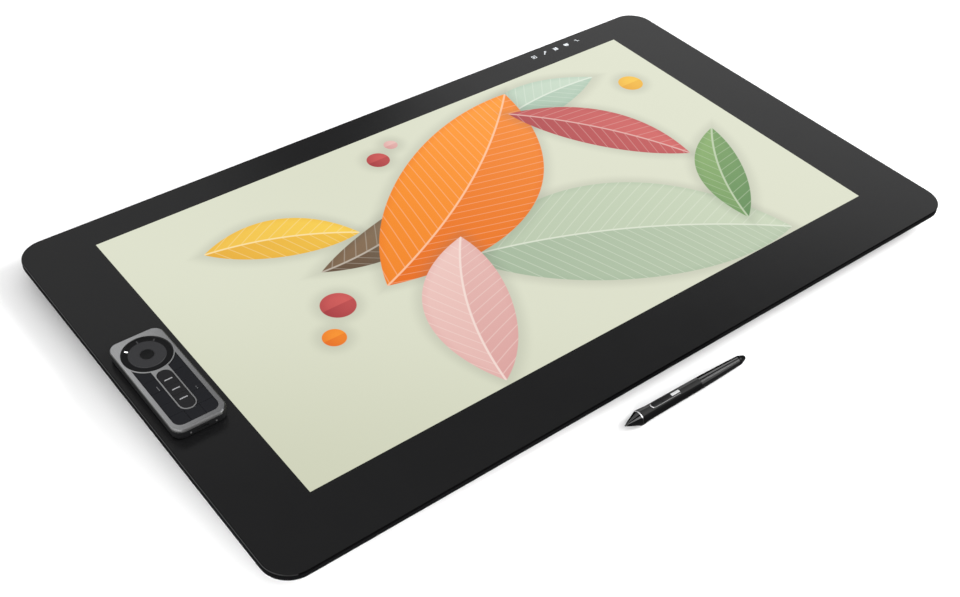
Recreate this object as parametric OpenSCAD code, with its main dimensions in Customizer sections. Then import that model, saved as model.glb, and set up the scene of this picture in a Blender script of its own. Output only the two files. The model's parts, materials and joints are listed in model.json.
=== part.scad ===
// Graphics tablet with a built-in screen, its key remote and its pen.
// Origin: centre of the four-hole mounting pattern on the rear face.
// X runs to the right, Y away from the person drawing, Z up through the glass.

/* [Tablet] */
// Width of the tablet across its glass
tablet_w = 851; // [790:1:910]
// Depth of the tablet, front to back
tablet_d = 503; // [480:1:530]
// Height from the rear face to the top of the glass
tablet_h = 26.3; // [25:0.1:32]
// Radius of the corners, seen from above
corner_r = 28; // [25:0.5:40]
// Height of the black side edge, glass included
edge_h = 6.5; // [5.5:0.1:8]
// Width of the side frame's ring
frame_w = 9; // [7.5:0.1:9]
// Wall thickness of the rear cover
cover_wall = 2.4; // [1.8:0.1:3]
// How far the cover slopes in below the edge
wing_inset = 20; // [14:0.5:22]
// Height of the plain lip above that slope
wing_lip = 0.5; // [0.3:0.1:1]
// Width of the raised block on the back
block_w = 640; // [600:1:680]
// Depth of the raised block on the back
block_d = 380; // [365:1:395]
// Corner radius of the raised block
block_r = 24; // [12:0.5:34]
// Bevel round the raised block's lower edge
block_bevel = 2; // [0.5:0.1:2.3]

/* [Screen] */
// Width of the picture
view_w = 707.5; // [680:0.5:716]
// Depth of the picture
view_d = 398; // [380:0.5:404]
// Border between the picture and the back edge
back_border = 38.8; // [36:0.1:44]
// Thickness of the cover glass
glass_t = 2; // [1.2:0.1:2.6]
// Bevel on the glass edges
glass_bevel = 0.4; // [0.1:0.05:0.5]
// Thickness of the glass seal
seal_t = 0.5; // [0.3:0.05:0.8]
// Width of the glass seal
seal_w = 6; // [4:0.1:6.8]
// Distance of the seal behind the edge
seal_inset = 0.7; // [0.3:0.1:1.2]
// Thickness of the display panel
panel_t = 1.8; // [1.2:0.1:2.4]
// Rim of the panel outside the picture
panel_margin = 6; // [4:0.5:8]
// Thickness of the diffuser sheets
sheet_t = 0.5; // [0.3:0.1:0.9]
// Thickness of the light guide
guide_t = 3.5; // [2.5:0.1:4]
// Depth of the lamp bar
lamp_d = 3; // [2:0.1:4]
// Number of lamps on the bar
lamp_count = 24; // [12:1:40]
// Thickness of the backlight tray
tray_t = 0.8; // [0.5:0.1:1.2]
// Thickness of the pen sensing board
sensor_t = 1; // [0.8:0.1:1.6]
// Rim of the sensing board outside the picture
sensor_margin = 9; // [7:0.5:10]
// Thickness of the shield plate
shield_t = 0.5; // [0.3:0.1:0.8]
// Thickness of the chassis plate
chassis_t = 1.5; // [1:0.1:2]

/* [Touch keys] */
// Number of touch keys in the border
touch_keys = 5; // [3:1:6]
// Pitch of the touch keys
touch_pitch = 17.5; // [14:0.1:18]
// Distance of the middle touch key from the right edge
touch_in = 147.5; // [126:0.5:225]
// Place of the touch keys, in from the back edge
touch_back = 14.2; // [13.5:0.1:20]
// Width of the touch key board
touch_board_w = 9; // [6:0.1:9]
// Thickness of the touch key board
touch_board_t = 1; // [0.6:0.1:1.6]

/* [Power button] */
// Distance of the power button from the right edge
power_in = 95.5; // [56:0.5:175]
// Length of the power button
power_l = 14; // [10:0.1:18]
// Height of the power button
power_h = 2.2; // [1.6:0.1:2.4]
// Depth of the power button
power_d = 5; // [4:0.1:6.5]
// How far the power button stands out
power_proud = 0.5; // [0.2:0.1:0.8]

/* [Legs] */
// Distance of each leg from the middle
leg_x = 235; // [225:1:245]
// Width of a leg
leg_w = 56; // [46:1:60]
// Length of a leg from its pin to its tip
leg_l = 130; // [115:1:140]
// Thickness of a leg
leg_t = 7; // [6:0.1:7.5]
// Place of the hinge pins, behind the middle
hinge_y = 125; // [115:1:140]
// How far a folded leg lies inside the rear face
leg_recess = 0.6; // [0.3:0.1:1]
// Gap round a folded leg
leg_gap = 0.8; // [0.5:0.1:1.2]
// Diameter of a hinge pin
pin_d = 3.4; // [2.5:0.1:4]
// Running clearance round a pin
pin_gap = 0.08; // [0.05:0.01:0.15]
// Length of the rubber foot on a leg
leg_foot_l = 14; // [10:0.5:18]
// Corner radius at a leg's tip
leg_tip_r = 8; // [4:0.5:9]
// Radius of the finger notch at a leg's tip
notch_r = 11; // [9:0.5:13]
// Depth of the finger notch
notch_h = 6; // [5:0.1:7]
// Width of the ribs inside a leg
leg_rib = 3; // [2:0.1:4]

/* [Fans and boards] */
// Distance of each fan from the middle
fan_x = 155; // [150:1:160]
// Place of the fans behind the middle
fan_y = 115; // [105:1:125]
// Diameter of a fan rotor
fan_d = 50; // [40:1:52]
// Height of a fan frame
fan_h = 9; // [7:0.1:9.5]
// Wall of a fan frame
fan_wall = 2; // [1.5:0.1:3]
// Clearance round a fan rotor
fan_gap = 1; // [0.6:0.1:1.5]
// Thickness of a fan frame's back plate
fan_plate = 1.2; // [0.8:0.1:1.6]
// Diameter of a fan spindle
spindle_d = 3; // [2:0.1:4]
// Number of blades on a rotor
blades = 9; // [7:1:11]
// Width of the main board
main_w = 220; // [190:1:230]
// Depth of the main board
main_d = 96; // [80:1:104]
// Width of the power board
feed_w = 220; // [180:1:240]
// Depth of the power board
feed_d = 76; // [60:1:84]
// Thickness of both boards
board_t = 1.6; // [1.2:0.1:2]
// Height of the posts that carry the boards
post_h = 3; // [2:0.1:3.4]
// Diameter of those posts
post_d = 6; // [5:0.1:8]
// Width of the heat sink
sink_w = 84; // [60:1:100]
// Depth of the heat sink
sink_d = 46; // [36:1:50]
// Height of the heat sink's fins
fin_h = 2.6; // [2:0.1:3]
// Number of fins on the heat sink
fins = 15; // [9:1:17]
// Depth of a connector shell
port_d = 15; // [13:0.1:18]
// Gap round a connector in the cover
port_gap = 0.3; // [0.2:0.05:0.5]
// Width of a vent slot
vent_w = 2.2; // [1.6:0.1:2.6]
// Pitch of the vent slots
vent_pitch = 4.6; // [4.2:0.1:5]

/* [Mount, feet and screws] */
// Spacing of the four mounting holes
mount_pitch = 100; // [90:1:110]
// Thread diameter of a mounting hole
mount_thread = 4; // [3:0.5:5]
// Outer diameter of a threaded insert
insert_d = 6.4; // [5.6:0.1:8]
// Length of a threaded insert
insert_l = 9; // [6:0.1:10]
// Diameter of a boss round an insert
boss_d = 13; // [11:0.1:16]
// Diameter of a rubber foot
foot_d = 18; // [14:0.1:22]
// How far a rubber foot stands out
foot_proud = 2; // [1:0.1:3]
// Depth of a foot's seat in the cover
foot_seat = 1; // [0.6:0.1:1.2]
// Distance of a foot from the block's sides
foot_edge = 24; // [18:0.5:30]
// Diameter of a cover screw's shank
screw_d = 3; // [2.5:0.1:4]
// Diameter of a cover screw's head
screw_head_d = 6.4; // [5.6:0.1:8]
// Height of a cover screw's head
screw_head_h = 1.8; // [1.2:0.1:2.4]
// Width of the cross slot in a head
screw_slot = 1; // [0.6:0.1:1.2]

/* [Remote] */
// Width of the remote
remote_w = 53.5; // [50:0.5:57]
// Length of the remote
remote_l = 131.5; // [126:0.5:138]
// Corner radius of the remote
remote_r = 10; // [8:0.5:13]
// Distance of the remote from the tablet's left edge
remote_edge = 8.5; // [6:0.1:12]
// Place of the remote in front of the tablet's middle
remote_front = 7.1; // [0:0.1:20]
// Thickness of the rubber pads under the remote
pad_t = 0.6; // [0.4:0.1:1]
// Diameter of those pads
pad_d = 9; // [7:0.1:11]
// Height of the lower case
base_h = 7.4; // [6.8:0.1:9]
// Wall of the lower case
base_wall = 2; // [1.6:0.1:2.4]
// Floor of the lower case
base_floor = 1.4; // [1:0.1:1.8]
// Height of the silver frame
frame_h = 4.2; // [3.8:0.1:5]
// Thickness of the silver frame's face
face_t = 2; // [1.6:0.1:2.2]
// Rounding of the silver frame's edge
frame_round = 2.2; // [1.2:0.1:2.4]
// Height of the silver edge that shows above the lower case
edge_show = 3; // [2.6:0.1:3.4]
// Frame border beside the touch ring
ring_border = 3; // [2.4:0.1:4]
// Frame border above the touch ring
ring_top = 4.9; // [4:0.1:6]
// Gap round the touch ring
ring_gap = 0.25; // [0.15:0.01:0.4]
// Radius of the touch ring's lighter middle
ring_mid_r = 17; // [15:0.1:18]
// Diameter of the ring button
hub_d = 12.4; // [10:0.1:15]
// How far the ring lies below the frame's face
ring_low = 0.5; // [0.2:0.05:0.8]
// How far the ring's outer band lies below its middle
band_low = 0.8; // [0.4:0.05:1]
// Radius at which the ring lights lie
light_r = 19.8; // [19.4:0.1:20.2]
// Length of a ring light
light_l = 3.4; // [2:0.1:4]
// Width of a ring light
light_w = 1.3; // [0.8:0.1:1.8]
// Height of a ring light
light_h = 1.2; // [0.8:0.1:1.4]
// Width of the centre key column
pill_w = 14.6; // [13:0.1:16]
// Length of the centre key column
pill_l = 55; // [52:0.5:56]
// Place of the centre keys, in front of the remote's middle
pill_front = 17.2; // [16.4:0.1:18]
// Silver rim round the centre keys
pill_rim = 1.45; // [1.3:0.05:1.9]
// Frame border beside the outer keys
key_border = 4.9; // [4.5:0.1:6]
// Frame border in front of the lower keys
key_front = 6.2; // [5.6:0.1:8]
// Corner radius of the lower keys
key_r = 8; // [5:0.1:9]
// How far the centre column's rim reaches into the lower row
low_lap = 1.2; // [0.8:0.1:1.6]
// Gap between keys and round them
key_gap = 0.3; // [0.2:0.01:0.4]
// Overhang of a key's flange under the frame
key_flange = 0.75; // [0.6:0.01:0.85]
// Thickness of a key's flange
flange_t = 0.9; // [0.6:0.05:1]
// How far the keys lie below the frame's face
key_low = 0.2; // [0.1:0.05:0.5]
// Pitch of the centre keys
mid_pitch = 14; // [12:0.1:15]
// Height of the bar on a centre key
bar_h = 0.6; // [0.4:0.05:0.9]
// Length of the bar on a centre key
bar_l = 7.8; // [6:0.1:10]
// Width of the bar on a centre key
bar_w = 1; // [0.8:0.1:2]
// Height of the feel marks on two outer keys
mark_h = 0.25; // [0.15:0.05:0.4]
// Length of the feel mark on a left key
mark_l = 6.2; // [5:0.1:9]
// Width of the feel marks
mark_w = 0.7; // [0.6:0.1:1.4]
// Distance of the left feel mark from the remote's middle
mark_x = 13; // [11.5:0.1:16]
// Distance of the right feel marks from the remote's middle
dots_x = 15.6; // [12:0.1:17]
// Spacing of the two right feel marks
dots_gap = 2.4; // [2:0.1:5]
// Thickness of the remote's board
remote_board_t = 1.2; // [0.8:0.1:1.6]
// Length of the remote's battery
cell_l = 56; // [40:1:64]
// Width of the remote's battery
cell_w = 32; // [24:1:38]
// Width of the remote's charging slot
slot_w = 10.6; // [8:0.1:12]
// Height of the remote's charging slot
slot_h = 2.6; // [2:0.1:2.8]
// Height of the charging slot above the lower case's underside
slot_up = 4.6; // [4.2:0.1:4.8]
// Distance of the front screws from the slot's middle
stud_x = 12.5; // [10:0.1:16]
// Diameter of the front screws' heads
stud_d = 1.5; // [1:0.1:2]
// How far those heads stand out
stud_proud = 0.2; // [0.1:0.05:0.3]

/* [Pen] */
// Length of the pen
pen_l = 158.5; // [154:0.5:164]
// Place of the nib's tip, left of the middle
pen_left = 73.6; // [40:0.1:110]
// Gap between the tablet's front edge and the pen's axis
pen_front = 21.7; // [15:0.1:40]
// Length of nib outside the nose
nib_out = 2.6; // [2.3:0.1:3.5]
// Diameter of the nib
nib_d = 1.9; // [1.5:0.1:2.2]
// Length of the nose
nose_l = 13.7; // [12:0.1:16]
// Radius of the nose at its small end
nose_r = 1.75; // [1.6:0.05:2.2]
// Width of the silver collar
collar_w = 1.2; // [0.8:0.1:1.6]
// Radius of the silver collar
collar_r = 7.35; // [7.1:0.05:7.5]
// Radius that the grip's front would have without its swell
grip_front_r = 6.9; // [6.7:0.05:7.2]
// Height of the swell at the grip's front
grip_swell = 0.72; // [0.5:0.01:0.9]
// Length over which that swell runs out
swell_run = 7; // [5:0.1:9]
// Radius of the grip at its rear
grip_rear_r = 6.25; // [6:0.05:6.5]
// Distance of the grip's rear from the nib's tip
grip_end = 94.5; // [88:0.5:100]
// Thickness of the rubber grip
grip_t = 1.1; // [0.8:0.05:1.2]
// Radius of the barrel at the tail button
tail_r = 4.7; // [4.4:0.05:5]
// Length of the tail button
tail_l = 9.5; // [8:0.1:12]
// Radius of the tail button's end
tail_tip_r = 2.6; // [2.2:0.05:3]
// Radius of the tail button's stem
stem_r = 1.5; // [1.2:0.05:1.8]
// Gap in front of the tail button
tail_gap = 0.8; // [0.6:0.05:1]
// Radius of the bore through the barrel
bore_r = 3.3; // [3:0.05:3.4]
// Distance of the switch frame from the nib's tip
switch_from = 31.5; // [29:0.1:35]
// Length of the switch frame
switch_l = 36.5; // [34:0.5:40]
// Width of the switch frame
switch_w = 6.2; // [5.6:0.1:6.6]
// Rim of the switch frame round the rocker
switch_rim = 0.5; // [0.45:0.05:0.7]
// Length of the silver plate behind the rocker
plate_l = 10.8; // [8:0.1:13]
// Width of the silver plate behind the rocker
plate_w = 3; // [2.6:0.1:3.6]
// Depth of the grooves beside the silver plate
groove_t = 0.6; // [0.4:0.05:0.8]
// How far the switch frame stands out of the grip
switch_proud = 0.25; // [0.15:0.05:0.4]
// How far the rocker stands out of the grip
rocker_proud = 0.9; // [0.6:0.05:1.2]
// Diameter of the rocker's pivots
pivot_d = 1.2; // [0.9:0.05:1.3]
// Clearance of the pen's sliding pieces
pen_gap = 0.12; // [0.08:0.01:0.2]

/* [Hidden] */
// Fineness of curves
$fn = 72;
// Seat clearance between fixed round pieces
seat_gap = 0.02;
// Heights of the stack, from the glass down
glass_z = tablet_h - glass_t;
frame_top = glass_z - seal_t;
rim_z = tablet_h - edge_h;
panel_z = glass_z - panel_t;
sheet_z = panel_z - sheet_t;
guide_z = sheet_z - guide_t;
tray_z = guide_z - tray_t;
sensor_z = tray_z - sensor_t;
shield_z = sensor_z - shield_t;
chassis_z = shield_z - chassis_t;
wing_z = chassis_z - cover_wall;
// Slope of the cover under the edge, outside and inside
wing_rise = rim_z - wing_lip - wing_z;
wing_wall = cover_wall * sqrt(1 + pow(wing_rise / wing_inset, 2));
well_low = wing_inset + (wing_wall - cover_wall) * wing_inset / wing_rise;
well_top = wing_inset - (rim_z - wing_z - wing_wall) * wing_inset / wing_rise;
// Place of the picture
view_y = tablet_d / 2 - back_border - view_d / 2;
panel_w = view_w + 2 * panel_margin;
panel_d = view_d + 2 * panel_margin;
// Tray walls keep this much room round the guide
tray_wall = 1;
// Touch key board
touch_x = tablet_w / 2 - touch_in;
touch_y = tablet_d / 2 - touch_back;
touch_l = touch_keys * touch_pitch;
// Power button
power_x = tablet_w / 2 - power_in;
// Legs
knuckle_r = leg_t / 2;
pin_z = leg_recess + knuckle_r;
well_w = leg_w + 2 * leg_gap;
well_h = leg_recess + leg_t + leg_gap;
well_back = hinge_y + knuckle_r + leg_gap;
well_front = hinge_y - leg_l - leg_gap;
pin_l = well_w + 2 * cover_wall;
// Boards
board_z = chassis_z - post_h - board_t;
main_y = block_d / 2 - cover_wall - 10 - main_d / 2;
feed_y = -(block_d / 2 - cover_wall - 26 - feed_d / 2);
chip_h = 1.4;
sink_base = 1.6;
post_in = 7;
// Fans
fan_box = fan_d + 2 * fan_gap + 2 * fan_wall;
fan_z = chassis_z - fan_h;
// Connectors: place along the back of the block, width, height
ports = [
    [-58, 16.5, 5.6],
    [-32, 15.2, 5.5],
    [-8, 9, 3.3],
    [10, 9, 3.3],
    [33, 13.2, 5.8],
    [56, 13.2, 5.8]
];
port_shell = 0.5;
port_tongue = 1.2;
// Screws along the wing
screw_x = (block_w / 2 + tablet_w / 2 - wing_inset) / 2;
screw_y = (block_d / 2 + tablet_d / 2 - wing_inset) / 2;
screw_at = concat(
    [for (i = [-2:2], s = [-1, 1]) [i * screw_x / 2, s * screw_y]],
    [for (s = [-1, 1]) [s * screw_x, 0]]
);
// Remote: centre, heights and outlines
remote_x = -tablet_w / 2 + remote_edge + remote_w / 2;
remote_y = -remote_front;
base_z = tablet_h + pad_t;
deck_z = base_z + base_h;
face_z = deck_z + frame_h;
split_z = face_z - edge_show;
ring_r = remote_w / 2 - ring_border;
ring_y = remote_l / 2 - ring_top - ring_r;
key_top = face_z - key_low;
flange_z = face_z - face_t - 0.05;
side_x = remote_w / 2 - key_border;
front_y = -remote_l / 2 + key_front;
low_y = -pill_front - pill_l / 2 - pill_rim + low_lap;
column_top = ring_y - ring_r * 0.72;
column_pitch = (column_top - low_y) / 4;
pill_in = pill_w / 2 + pill_rim;
ring_face = face_z - ring_low;
// Pen: profile and the way it rests
collar_at = nib_out + nose_l;
grip_at = collar_at + collar_w;
tail_at = pen_l - tail_l - tail_gap;
function grip_radius(u) = grip_front_r + (grip_rear_r - grip_front_r) * (u - grip_at)
    / (grip_end - grip_at) + grip_swell * exp(-pow((u - grip_at - 1.2) / swell_run, 2));
function tail_radius(u) = grip_rear_r - (grip_rear_r - tail_r)
    * pow((u - grip_end) / (tail_at - grip_end), 1.35);
grip_line = [for (i = [0:16]) let (u = grip_at + (grip_end - grip_at) * pow(i / 16, 1.4))
    [grip_radius(u), u]];
tail_line = [for (i = [0:6]) let (u = grip_end + (tail_at - grip_end) * i / 6)
    [tail_radius(u), u]];
swell_u = grip_line[2][1];
pen_lean = atan((grip_line[2][0] - grip_rear_r) / (grip_end - swell_u));
pen_rest = max([for (p = concat(grip_line, tail_line)) p[1] * sin(pen_lean) + p[0] * cos(pen_lean)]);
pen_x = -pen_left;
pen_y = -tablet_d / 2 - pen_front;
pen_z = -foot_proud + pen_rest;
rocker_from = switch_from + switch_rim + 0.6;
rocker_to = switch_from + switch_l - plate_l;
rocker_u = (rocker_from + rocker_to) / 2;
pivot_z = bore_r + 1.3;
groove_w = (switch_w - plate_w) / 2 - switch_rim;
core_r = bore_r - seat_gap;
core_from = grip_at + 4;
core_to = tail_at - 26;

// Rounded rectangle
module rounded(w, d, r) {
    square([w - 2 * r, d], center = true);
    square([w, d - 2 * r], center = true);
    for (x = [-1, 1], y = [-1, 1])
        translate([x * (w / 2 - r), y * (d / 2 - r)])
            circle(r);
}

// Slab with a rounded outline whose side wall follows [inset, height] points
module moulded(w, d, r, wall) {
    n = len(wall) - 1;
    for (x = [-1, 1], y = [-1, 1])
        translate([x * (w / 2 - r), y * (d / 2 - r), 0])
            rotate_extrude()
                polygon(concat([[0, wall[0][1]]], [for (p = wall) [r - p[0], p[1]]], [[0, wall[n][1]]]));
    rotate([90, 0, 90])
        linear_extrude(height = w - 2 * r, center = true)
            polygon(concat(
                [for (p = wall) [d / 2 - p[0], p[1]]],
                [for (i = [n:-1:0]) [wall[i][0] - d / 2, wall[i][1]]]
            ));
    rotate([90, 0, 0])
        linear_extrude(height = d - 2 * r, center = true)
            polygon(concat(
                [for (p = wall) [w / 2 - p[0], p[1]]],
                [for (i = [n:-1:0]) [wall[i][0] - w / 2, wall[i][1]]]
            ));
}

// Flat plate with a rounded outline
module plate(w, d, r, z, t) {
    translate([0, 0, z])
        linear_extrude(height = t)
            rounded(w, d, r);
}

// Slot with round ends along Y
module slot(w, l) {
    square([w, l - w], center = true);
    for (s = [-1, 1])
        translate([0, s * (l - w) / 2])
            circle(d = w);
}

module cover_glass() {
    color([0.05, 0.05, 0.06])
        moulded(tablet_w, tablet_d, corner_r, [
            [glass_bevel, glass_z],
            [0, glass_z + glass_bevel],
            [0, tablet_h - glass_bevel],
            [glass_bevel, tablet_h]
        ]);
}

module glass_seal() {
    in = seal_inset + seal_w;
    color([0.03, 0.03, 0.03])
        translate([0, 0, frame_top])
            linear_extrude(height = seal_t)
                difference() {
                    rounded(tablet_w - 2 * seal_inset, tablet_d - 2 * seal_inset, corner_r - seal_inset);
                    rounded(tablet_w - 2 * in, tablet_d - 2 * in, corner_r - in);
                }
}

// Outline of the power button, seen from the back
module power_outline(grow) {
    rotate([0, 0, 90])
        slot(power_h + 2 * grow, power_l + 2 * grow);
}

module power_shape(grow, y_out, depth) {
    translate([power_x, y_out, (rim_z + frame_top) / 2])
        rotate([90, 0, 0])
            linear_extrude(height = depth)
                power_outline(grow);
}

module side_frame() {
    color([0.07, 0.07, 0.08])
        difference() {
            translate([0, 0, rim_z])
                linear_extrude(height = frame_top - rim_z)
                    difference() {
                        rounded(tablet_w, tablet_d, corner_r);
                        rounded(tablet_w - 2 * frame_w, tablet_d - 2 * frame_w, corner_r - frame_w);
                    }
            power_shape(pen_gap, tablet_d / 2 + 1, frame_w + 2);
        }
}

module power_button() {
    color([0.1, 0.1, 0.11])
        power_shape(0, tablet_d / 2 + power_proud, power_d);
}

// Leg well as it is cut into the cover, grown for its housing
module leg_well(grow, top) {
    translate([0, (well_front + well_back) / 2, -1])
        linear_extrude(height = top + 1)
            square([well_w + 2 * grow, well_back - well_front + 2 * grow], center = true);
}

module notch(grow, top) {
    translate([0, well_front, -1])
        cylinder(r = notch_r + grow, h = top + 1);
}

module vent_field() {
    reach = fan_d / 2;
    for (i = [-5:5])
        if (abs(i * vent_pitch) < reach - 4)
            translate([i * vent_pitch, 0])
                slot(vent_w, 2 * sqrt(pow(reach, 2) - pow(i * vent_pitch, 2)));
}

module cover_shell() {
    difference() {
        union() {
            moulded(tablet_w, tablet_d, corner_r, [
                [wing_inset, wing_z],
                [0, rim_z - wing_lip],
                [0, rim_z]
            ]);
            moulded(block_w, block_d, block_r, [
                [block_bevel, 0],
                [0, block_bevel],
                [0, chassis_z - cover_wall / 2]
            ]);
        }
        moulded(tablet_w, tablet_d, corner_r, [
            [well_low, chassis_z],
            [well_top, rim_z],
            [well_top, rim_z + 1]
        ]);
        plate(block_w - 2 * cover_wall, block_d - 2 * cover_wall, block_r - cover_wall,
            cover_wall, chassis_z);
    }
}

module rear_cover() {
    color([0.12, 0.12, 0.13])
        difference() {
            union() {
                cover_shell();
                for (s = [-1, 1])
                    translate([s * leg_x, 0, 0])
                        intersection() {
                            union() {
                                leg_well(cover_wall, well_h + cover_wall);
                                notch(cover_wall, notch_h + cover_wall);
                            }
                            translate([-leg_w, -block_d / 2, cover_wall / 2])
                                cube([2 * leg_w, block_d, tablet_h]);
                        }
                for (x = [-1, 1], y = [-1, 1])
                    translate([x * mount_pitch / 2, y * mount_pitch / 2, cover_wall / 2])
                        cylinder(d = boss_d, h = chassis_z - cover_wall / 2);
            }
            for (s = [-1, 1])
                translate([s * leg_x, 0, 0]) {
                    leg_well(0, well_h);
                    notch(0, notch_h);
                    translate([0, hinge_y, pin_z])
                        rotate([0, 90, 0])
                            cylinder(d = pin_d + 2 * seat_gap, h = pin_l + 2, center = true);
                }
            for (x = [-1, 1], y = [-1, 1]) {
                translate([x * mount_pitch / 2, y * mount_pitch / 2, -1])
                    cylinder(d = insert_d + 2 * seat_gap, h = insert_l + 1 + seat_gap);
                translate([x * (block_w / 2 - foot_edge), y * (block_d / 2 - foot_edge), -1])
                    cylinder(d = foot_d + 2 * seat_gap, h = foot_seat + 1);
            }
            for (p = screw_at)
                translate([p[0], p[1], wing_z - 1])
                    cylinder(d = screw_d + 2 * seat_gap, h = cover_wall + 2);
            for (s = [-1, 1]) {
                translate([s * fan_x, fan_y, -1])
                    linear_extrude(height = cover_wall + 2)
                        vent_field();
                for (i = [-5:5])
                    translate([s * fan_x + i * vent_pitch, block_d / 2 - cover_wall / 2,
                        (cover_wall + wing_z) / 2])
                        cube([vent_w, cover_wall + 2, wing_z - 2 * cover_wall - 1.4], center = true);
            }
            for (p = ports)
                translate([p[0], block_d / 2 - cover_wall / 2, board_z - p[2] / 2])
                    cube([p[1] + 2 * port_gap, cover_wall + 2, p[2] + 2 * port_gap], center = true);
        }
}

module lcd_panel() {
    color([0.2, 0.22, 0.26])
        translate([-panel_w / 2, view_y - panel_d / 2, panel_z])
            cube([panel_w, panel_d, panel_t]);
}

module diffuser_sheets() {
    color([0.95, 0.95, 0.92])
        translate([-panel_w / 2, view_y - panel_d / 2, sheet_z])
            cube([panel_w, panel_d, sheet_t]);
}

module light_guide() {
    color([0.8, 0.9, 0.95])
        translate([-panel_w / 2 + tray_wall, view_y - panel_d / 2 + tray_wall + lamp_d, guide_z])
            cube([panel_w - 2 * tray_wall, panel_d - 2 * tray_wall - lamp_d, guide_t]);
}

module lamp_bar() {
    strip = lamp_d / 2;
    run = panel_w - 2 * tray_wall;
    color([0.95, 0.9, 0.6])
        translate([-run / 2, view_y - panel_d / 2 + tray_wall, guide_z]) {
            cube([run, strip, guide_t]);
            for (i = [0.5:1:lamp_count])
                translate([i * run / lamp_count - 3, strip / 2, guide_t * 0.2])
                    cube([6, lamp_d - strip / 2, guide_t * 0.6]);
        }
}

module backlight_tray() {
    color([0.75, 0.76, 0.78])
        difference() {
            translate([-panel_w / 2, view_y - panel_d / 2, tray_z])
                cube([panel_w, panel_d, tray_t + guide_t]);
            translate([-panel_w / 2 + tray_wall, view_y - panel_d / 2 + tray_wall, guide_z])
                cube([panel_w - 2 * tray_wall, panel_d - 2 * tray_wall, guide_t + 1]);
        }
}

module pen_sensor_board() {
    color([0.1, 0.35, 0.2])
        translate([0, view_y, 0])
            plate(view_w + 2 * sensor_margin, view_d + 2 * sensor_margin, 4, sensor_z, sensor_t);
}

module sensor_shield() {
    color([0.7, 0.7, 0.72])
        translate([0, view_y, 0])
            plate(view_w + 2 * sensor_margin, view_d + 2 * sensor_margin, 4, shield_z, shield_t);
}

// Four posts under the chassis, in from the corners of a board
module posts(w, d, y) {
    for (a = [-1, 1], b = [-1, 1])
        translate([a * (w / 2 - post_in), y + b * (d / 2 - post_in), chassis_z - post_h])
            cylinder(d = post_d, h = post_h + chassis_t / 2);
}

module chassis_plate() {
    in = well_low + port_gap;
    color([0.62, 0.63, 0.66])
        difference() {
            union() {
                plate(tablet_w - 2 * in, tablet_d - 2 * in, corner_r - in, chassis_z, chassis_t);
                posts(main_w, main_d, main_y);
                posts(feed_w, feed_d, feed_y);
            }
            for (p = screw_at)
                translate([p[0], p[1], chassis_z - 1])
                    cylinder(d = screw_d + 2 * seat_gap, h = chassis_t + 2);
        }
}

module main_board() {
    color([0.08, 0.3, 0.16]) {
        translate([-main_w / 2, main_y - main_d / 2, board_z])
            cube([main_w, main_d, board_t]);
        translate([-15, main_y - 15, board_z - chip_h])
            cube([30, 30, chip_h + board_t / 2]);
        for (i = [-3, -2, 2, 3])
            translate([i * 22 - 6, main_y - 30, board_z - chip_h])
                cube([12, 9, chip_h + board_t / 2]);
    }
}

module power_board() {
    color([0.09, 0.28, 0.17]) {
        translate([-feed_w / 2, feed_y - feed_d / 2, board_z])
            cube([feed_w, feed_d, board_t]);
        for (i = [-2:2])
            translate([i * 20, feed_y + 16, board_z - 5])
                cylinder(d = 9, h = 5 + board_t / 2);
        translate([-70, feed_y - 26, board_z - 5])
            cube([28, 24, 5 + board_t / 2]);
        translate([30, feed_y - 26, board_z - 4])
            cube([36, 18, 4 + board_t / 2]);
    }
}

module heat_sink() {
    top = board_z - chip_h;
    color([0.55, 0.56, 0.58])
        translate([0, main_y, top - sink_base]) {
            translate([-sink_w / 2, -12, 0])
                cube([sink_w, sink_d, sink_base]);
            for (i = [0:fins - 1])
                translate([-sink_w / 2 + i * (sink_w - 1.2) / (fins - 1), -12, -fin_h])
                    cube([1.2, sink_d, fin_h + sink_base / 2]);
        }
}

module connectors() {
    color([0.72, 0.72, 0.74])
        for (p = ports)
            translate([p[0], block_d / 2 - port_d, board_z - p[2]])
                difference() {
                    translate([-p[1] / 2, 0, 0])
                        cube([p[1], port_d, p[2]]);
                    difference() {
                        translate([-p[1] / 2 + port_shell, 4, port_shell])
                            cube([p[1] - 2 * port_shell, port_d, p[2] - 2 * port_shell]);
                        translate([-p[1] / 2 + 1.6, 0, p[2] / 2 - port_tongue / 2])
                            cube([p[1] - 3.2, port_d - 1.5, port_tongue]);
                    }
                }
}

module fan_frames() {
    open = fan_d / 2 + fan_gap;
    color([0.1, 0.1, 0.1])
        for (s = [-1, 1])
            translate([s * fan_x, fan_y, fan_z]) {
                difference() {
                    translate([-fan_box / 2, -fan_box / 2, 0])
                        cube([fan_box, fan_box, fan_h]);
                    translate([0, 0, -1])
                        cylinder(r = open, h = fan_h - fan_plate + 1);
                    translate([-open * 0.7, 0, fan_plate])
                        cube([open * 1.4, fan_box, fan_h - 2 * fan_plate]);
                }
                cylinder(d = spindle_d, h = fan_h - fan_plate / 2);
            }
}

// Curved blade that leaves the hub and ends at the rotor's rim
module fan_blade(hub) {
    intersection() {
        translate([0, fan_d / 2])
            difference() {
                circle(fan_d / 2 + 0.6);
                circle(fan_d / 2 - 0.6);
            }
        translate([hub - 2, -1])
            square([fan_d, fan_d]);
        circle(d = fan_d);
    }
}

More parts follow.
